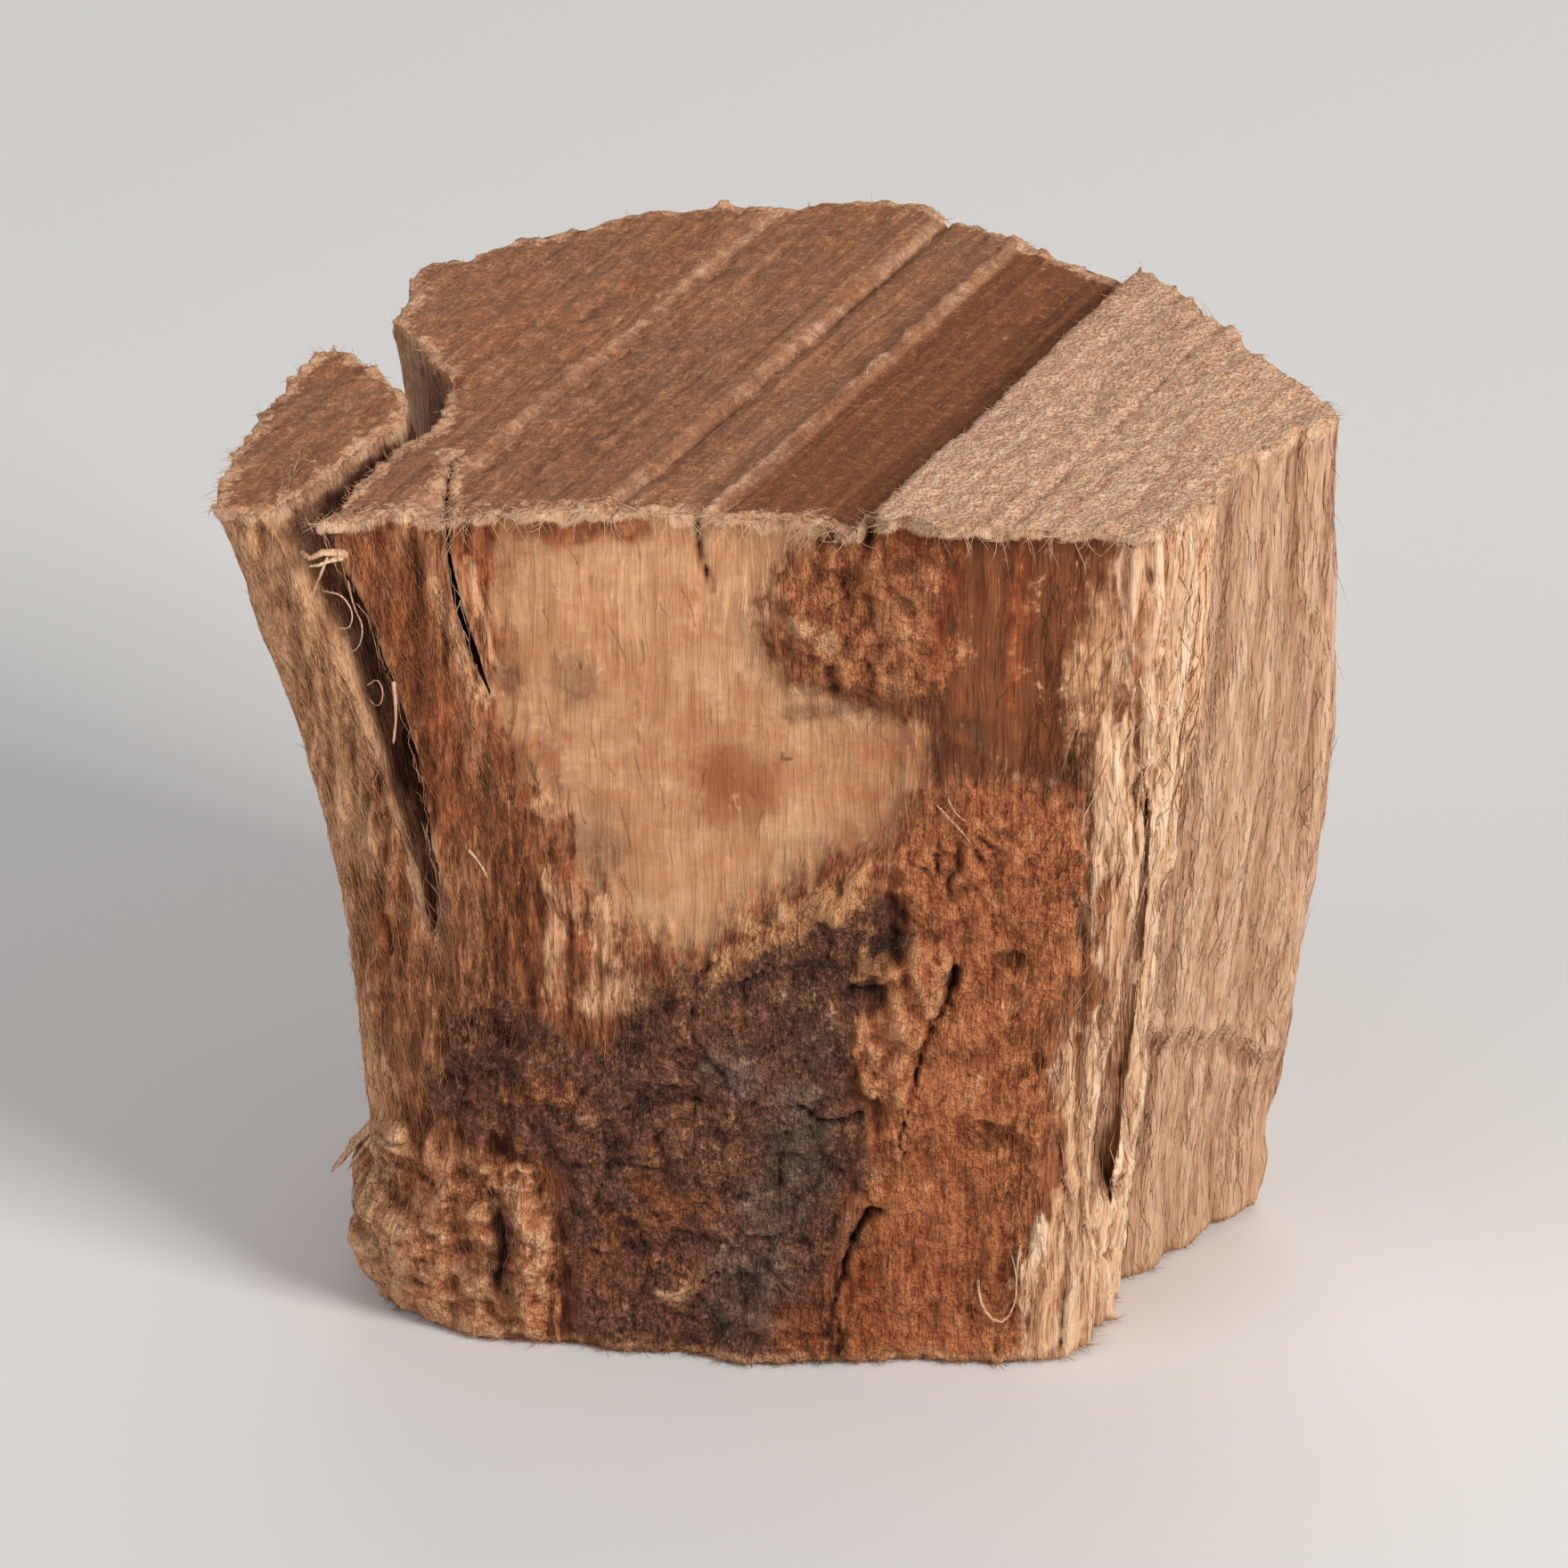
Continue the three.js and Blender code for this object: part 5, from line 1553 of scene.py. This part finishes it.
def standing(name, starts, ways, long, thick, material, curl, paint=None, knots=5):
    """Short fibres from points of the block, each in its own direction."""
    count = len(starts)
    t = np.linspace(0, 1, knots)[None, :, None]
    reach = rng.uniform(*long, count)[:, None, None]
    most = MOST_BENT * curl
    bend, second = (rng.normal(0, curl, (count, 1, 3)).clip(-most, most) for _ in range(2))
    way = ways / np.linalg.norm(ways, axis=-1, keepdims=True)
    path = points[starts][:, None] - 0.08 * way[:, None]
    path = path + reach * (way[:, None] * t + bend * t**2 + second * t**2 * (1 - t))
    path[:, :, 2] = np.clip(path[:, :, 2], FLOOR_CLEAR, points[starts, 2][:, None] + MOST_ABOVE_ROOT)
    radii = rng.uniform(*thick, count)[:, None] * (1 - 0.7 * t[:, :, 0])
    return tubes(name, path, radii, material, starts, 0.3, paint)


def pick(where, count, weight=None):
    """So many of the block's points, more likely where the weight is large."""
    found = np.flatnonzero(where)
    chance = None if weight is None else weight[found] / weight[found].sum()
    return rng.choice(found, min(count, len(found)), replace=False, p=chance)


normals = read(mesh.vertices, "normal", 3)
x, y, z = points.T
frontness = 0.06 + np.maximum(attributes["front"], ease((14 - y) / 6))
starts = pick(top_rim, 1500, frontness**2 * np.clip(0.3 + 1.4 * noise(x / 2.2, y / 2.2, 201), 0.05, 2))
ways = 0.6 * normals[starts] * [1, 1, 0.2] + rng.normal(0, 0.6, (len(starts), 3)) * [1, 1, 0.6] + [0, 0, -0.2]
standing("fuzz_top_edge", starts, ways, (0.3, 1.1), (0.022, 0.04), side_paint, 0.5, TORN)
starts = pick(top_rim & (y < 5) & (x > -24) & (x < 27), 420)
ways = normals[starts] * [1, 0.8, 0] + rng.normal(0, 0.5, (len(starts), 3)) + [0, 0, -0.9]
standing("curls_front_edge", starts, ways, (0.8, 2.0), (0.03, 0.05), side_paint, 0.7, TORN, knots=6)
wool_here = 0.08 + attributes["fuzzy"] + attributes["step"] + attributes["front_edge"]
starts = pick(on_top & (z > 60) & (from_rim > 0.6), 2300, wool_here)
ways = rng.normal(0, 1, (len(starts), 3)) * [1, 1, 0.2] + [0, 0, 0.15]
standing("fuzz_top", starts, ways, (0.3, 0.8), (0.022, 0.036), top_paint, 0.4, knots=4)
starts = pick(foot_rim & (y < 20), 1100)
ways = normals[starts] * [1, 1, 0] + rng.normal(0, 0.5, (len(starts), 3)) + [0, 0, 0.1]
standing("fuzz_foot_edge", starts, ways, (0.4, 1.2), (0.03, 0.05), side_paint, 0.4)

# %% [markdown]
# ## Strands that show one by one
# A few torn strands are big enough to be seen from a step away: a forked splinter and curls that hang in
# the gap, a loop near the foot, a splinter at the lower left and the pale bundle down the right fold. Each is
# drawn by a few points on the front, as a place across, a height and how far it stands off.

# %% Single strands
STRANDS = [
    ([(-31, 65.1, -0.2), (-32.4, 65.6, 0.7), (-34.3, 65.7, 1.2)], 0.36, 0.6),
    ([(-31.2, 64.9, 0.1), (-32.4, 64.9, 0.8), (-33.7, 64.4, 1.3)], 0.22, 0.6),
    ([(-32.3, 65.2, 0.7), (-32.8, 64, 1.1), (-33.4, 62.3, 1.4)], 0.12, 0.5),
    (
        [(-32.7, 62.3, 0.4), (-31.4, 62.6, 1.2), (-30.5, 61.4, 1.5), (-30.7, 59.8, 1.3), (-31.9, 59.5, 1)],
        0.07, 0.5
    ),
    (
        [(-30.9, 63.1, 0.2), (-30.5, 61.4, 0.9), (-29.8, 60, 1.3), (-30.1, 58.1, 1.2), (-31.1, 57.3, 0.9)],
        0.07, 0.5
    ),
    (
        [(-29.7, 54.6, 0.2), (-28.9, 55.8, 0.9), (-28.4, 54.4, 1.1), (-29, 53, 0.9), (-29.6, 53.8, 0.8)],
        0.05, 0.5
    ),
    ([(-27.8, 55, 0.1), (-27.6, 52.6, 0.4), (-27.9, 50, 0.3)], 0.16, 0.5),
    (
        [
            (14.5, 6.8, 0.1), (14.7, 5.1, 0.9), (16.2, 3.6, 1.4), (17.2, 5.1, 1.2), (17.4, 7.7, 0.8),
            (16.8, 9.7, 0.1)
        ],
        0.11, 0.7
    ),
    ([(17.6, 10, 0), (17.3, 7.6, 0.5), (17.4, 5, 0.6)], 0.09, 0.5),
    ([(-28.6, 69, 0.3), (-28.4, 69.6, 0.6), (-28.2, 70.2, 0.8)], 0.09, 0.4),
    ([(-33.4, 69.2, -0.3), (-34.9, 69, 0.4), (-36, 68.2, 0.8)], 0.09, 0.5),
    ([(29.6, 51.5, 0), (30, 46.5, 0.6), (30.8, 43.4, 1.1)], 0.11, 0.6),
    ([(25.6, 56, 0.1), (26.6, 53, 0.5), (27.4, 50.4, 0.9)], 0.09, 0.5),
    ([(26, 48, 0.1), (25.6, 44.5, 0.5), (25.9, 41, 0.5)], 0.09, 0.5),
    ([(11.2, 46, 0.1), (12.6, 44.8, 0.6), (13.7, 43.6, 0.6)], 0.09, 0.5),
    ([(12, 46.6, 0.1), (12.5, 45.6, 0.5), (13.3, 45.2, 0.7)], 0.07, 0.5),
    ([(-22.6, 41.4, 0.1), (-21.8, 40.6, 0.5), (-21.2, 39.4, 0.7)], 0.12, 0.6),
]


def smooth_path(line, knots):
    """Evenly spaced places along a line with its corners rounded."""
    line = np.array(line, float)
    for _ in range(3):
        middle = (line[:-1] + line[1:]) / 2
        cut_corners = np.stack([mix(line[:-1], middle, 0.5), mix(line[1:], middle, 0.5)], axis=1)
        line = np.concatenate([line[:1], cut_corners.reshape(-1, 3), line[-1:]])
    steps = np.concatenate([[0], np.cumsum(np.linalg.norm(np.diff(line, axis=0), axis=1))])
    even = np.linspace(0, steps[-1], knots)
    return np.stack([np.interp(even, steps, column) for column in line.T], axis=-1)


seen = np.flatnonzero((y < 16) & (normals[:, 1] < -0.1) & ~on_wall & (z < HEIGHT + 1.5))
front_tree = tree_of(points[seen] * [1, 0, 1])


def on_front(line, knots):
    """Places of a line of (x, z, lift) in front of the block, and the block's point where it starts."""
    path = smooth_path(line, knots)
    hits = seen[nearest(front_tree, path[:, [0, 2, 1]] * [1, 0, 1])[0]]
    near = points[hits, 1]
    near[1:-1] = (near[:-2] + near[1:-1] + near[2:]) / 3
    return np.stack([path[:, 0], near - path[:, 2], path[:, 1]], axis=-1), hits[0]


KNOTS = 14
drawn = [on_front(line, KNOTS) for line, _, _ in STRANDS]
strand_paths, strand_roots = (np.array(part) for part in zip(*drawn))
t = np.linspace(0, 1, KNOTS)
strand_radii = np.array(
    [wide * (1 - keen * t) * (1 + 0.15 * noise(t * 6, i, 3)) for i, (_, wide, keen) in enumerate(STRANDS)]
)
tubes("torn_strands", strand_paths, strand_radii, side_paint, strand_roots, 0.2, TORN, sides=6)

BUNDLE, BUNDLE_LOWEST, BUNDLE_HIGHEST = 46, 41, 67.2
bundle_s = fold - rng.uniform(-0.9, 2.6, BUNDLE)
bundle_top = np.minimum(rng.uniform(50, 69, BUNDLE), BUNDLE_HIGHEST)
bundle_low = np.maximum(bundle_top - rng.uniform(7, 24, BUNDLE), BUNDLE_LOWEST)
t = np.linspace(0, 1, 12)[None, :]
each = np.arange(BUNDLE)[:, None]
bundle_z = mix(bundle_top[:, None], bundle_low[:, None], t)
bundle_sway = 0.35 * noise(bundle_z / 7, each * 3.7, 5) + 0.12 * noise(bundle_z / 2, each * 3.7, 6)
bundle_lift = 0.03 + rng.uniform(0, 0.5, (BUNDLE, 1)) * t**3
bundle = side_place(bundle_s[:, None] + bundle_sway, bundle_z, bundle_lift)
bundle_radii = rng.uniform(0.07, 0.17, (BUNDLE, 1)) * (1 - 0.7 * t) * (1 + 0.2 * noise(t * 5, each, 8))
bundle_roots, _ = on_block(bundle[:, 3])
tubes("pale_bundle", bundle, bundle_radii, side_paint, bundle_roots, 0.35, {"cream": 0.9}, sides=5)

# %% [markdown]
# ## The splinter at the foot
# Low on the left one splinter still hangs on by its root and points down and out, as it does on the solid.
# It is a bunch of tapered strands that part at the tip. One solid blade would look cut, and these look torn.

# %% Splinter
SPLINTER_ROOT, SPLINTER_TIP = np.array([-26.5, 13.5, 16.2]), np.array([-33.4, 11.6, 9.8])
SPLINTER_STRANDS, SPLINTER_KNOTS = 13, 10
size = (SPLINTER_STRANDS, SPLINTER_KNOTS)
t = np.linspace(0, 1, SPLINTER_KNOTS)[None, :, None]
spread = rng.normal(0, 1, (SPLINTER_STRANDS, 3)).clip(-1.6, 1.6) * [0.34, 0.3, 0.34]
shorter = rng.uniform(-0.04, 0.3, (SPLINTER_STRANDS, 1))
ends = SPLINTER_TIP + spread * 1.2 - (SPLINTER_TIP - SPLINTER_ROOT) * shorter
starts = SPLINTER_ROOT + 0.5 * spread
blade = starts[:, None] * (1 - t) + ends[:, None] * t + [0, 0, 0.9] * t * (1 - t) * 2
blade = blade + 0.08 * rng.normal(0, 1, (*size, 3)).cumsum(axis=1) * t
blade_radii = rng.uniform(0.3, 0.46, (SPLINTER_STRANDS, 1)) * (1 - 0.6 * t[:, :, 0])
blade_radii = blade_radii * (1 + 0.2 * rng.normal(0, 1, size).clip(-1, 1))
blade_roots, _ = on_block(np.tile(SPLINTER_ROOT, (SPLINTER_STRANDS, 1)))
tubes("foot_splinter", blade, blade_radii, side_paint, blade_roots, 0.3, TORN, sides=6)

# %% [markdown]
# ## Floor, light and camera
# The chunk stands on a plain pale floor. A broad light from the upper right gives the split side its shine
# and rakes over the bark, a weaker one from the left opens the shadows, one behind edges the top, and the
# sky fills the rest. The camera looks down at the front by 25 degrees, from far enough away to keep the
# block's sides upright. These lengths are metres.

# %% Stage
FLOOR_REACH, FLOOR_DROP = 3.0, 0.0002
LIGHTS_AIM, CAMERA_AIM = Vector((0, 0, 0.033)), Vector((0, 0, 0.0335))
LIGHTS = {
    # place, size, power and tint
    "key": ((0.7, -0.62, 0.5), 0.42, 10.2, (1, 0.97, 0.93)),
    "fill": ((-0.7, -0.6, 0.45), 0.8, 3.4, (0.97, 0.98, 1)),
    "back": ((0.1, 0.7, 0.7), 0.6, 2, (1, 0.98, 0.95)),
}
SKY_TINT, SKY_STRENGTH = (0.95, 0.96, 1, 1), 0.26
CAMERA_DISTANCE, CAMERA_ELEVATION, VIEW_WIDTH, SENSOR = 0.75, math.radians(25), 0.118, 36


def aimed(thing, place, target):
    thing.location = place
    thing.rotation_euler = (target - Vector(place)).to_track_quat("-Z", "Y").to_euler()


for name, (place, size, power, tint) in LIGHTS.items():
    lamp = bpy.data.lights.new(name, "AREA")
    lamp.size, lamp.energy, lamp.color = size, power, tint
    aimed(place_object(name, lamp), place, LIGHTS_AIM)

floor_mesh = bpy.data.meshes.new("floor")
floor_corners = [(x * FLOOR_REACH, y * FLOOR_REACH, 0) for x, y in ((-1, -1), (1, -1), (1, 1), (-1, 1))]
floor_mesh.from_pydata(floor_corners, [], [(0, 1, 2, 3)])
floor = place_object("floor", floor_mesh)
floor.location.z = -FLOOR_DROP
floor_paint = blank_material("floor_paint")
floor_shader = floor_paint.node_tree.nodes["Principled BSDF"]
floor_shader.inputs["Base Color"].default_value = (0.8, 0.785, 0.765, 1)
floor_shader.inputs["Roughness"].default_value = 0.9
floor_mesh.materials.append(floor_paint)

sky = bpy.data.worlds.new("sky")
sky.use_nodes = True
sky.node_tree.nodes["Background"].inputs["Color"].default_value = SKY_TINT
sky.node_tree.nodes["Background"].inputs["Strength"].default_value = SKY_STRENGTH
bpy.context.scene.world = sky
bpy.context.scene.view_settings.view_transform = "Standard"

camera = bpy.data.cameras.new("camera")
camera.sensor_width = SENSOR
camera.lens = SENSOR * CAMERA_DISTANCE / VIEW_WIDTH
camera_stand = place_object("camera", camera)
toward = Vector((0, -math.cos(CAMERA_ELEVATION), math.sin(CAMERA_ELEVATION)))
aimed(camera_stand, CAMERA_AIM + CAMERA_DISTANCE * toward, CAMERA_AIM)
bpy.context.scene.camera = camera_stand
print("camera stands at", [round(v, 3) for v in camera_stand.location])
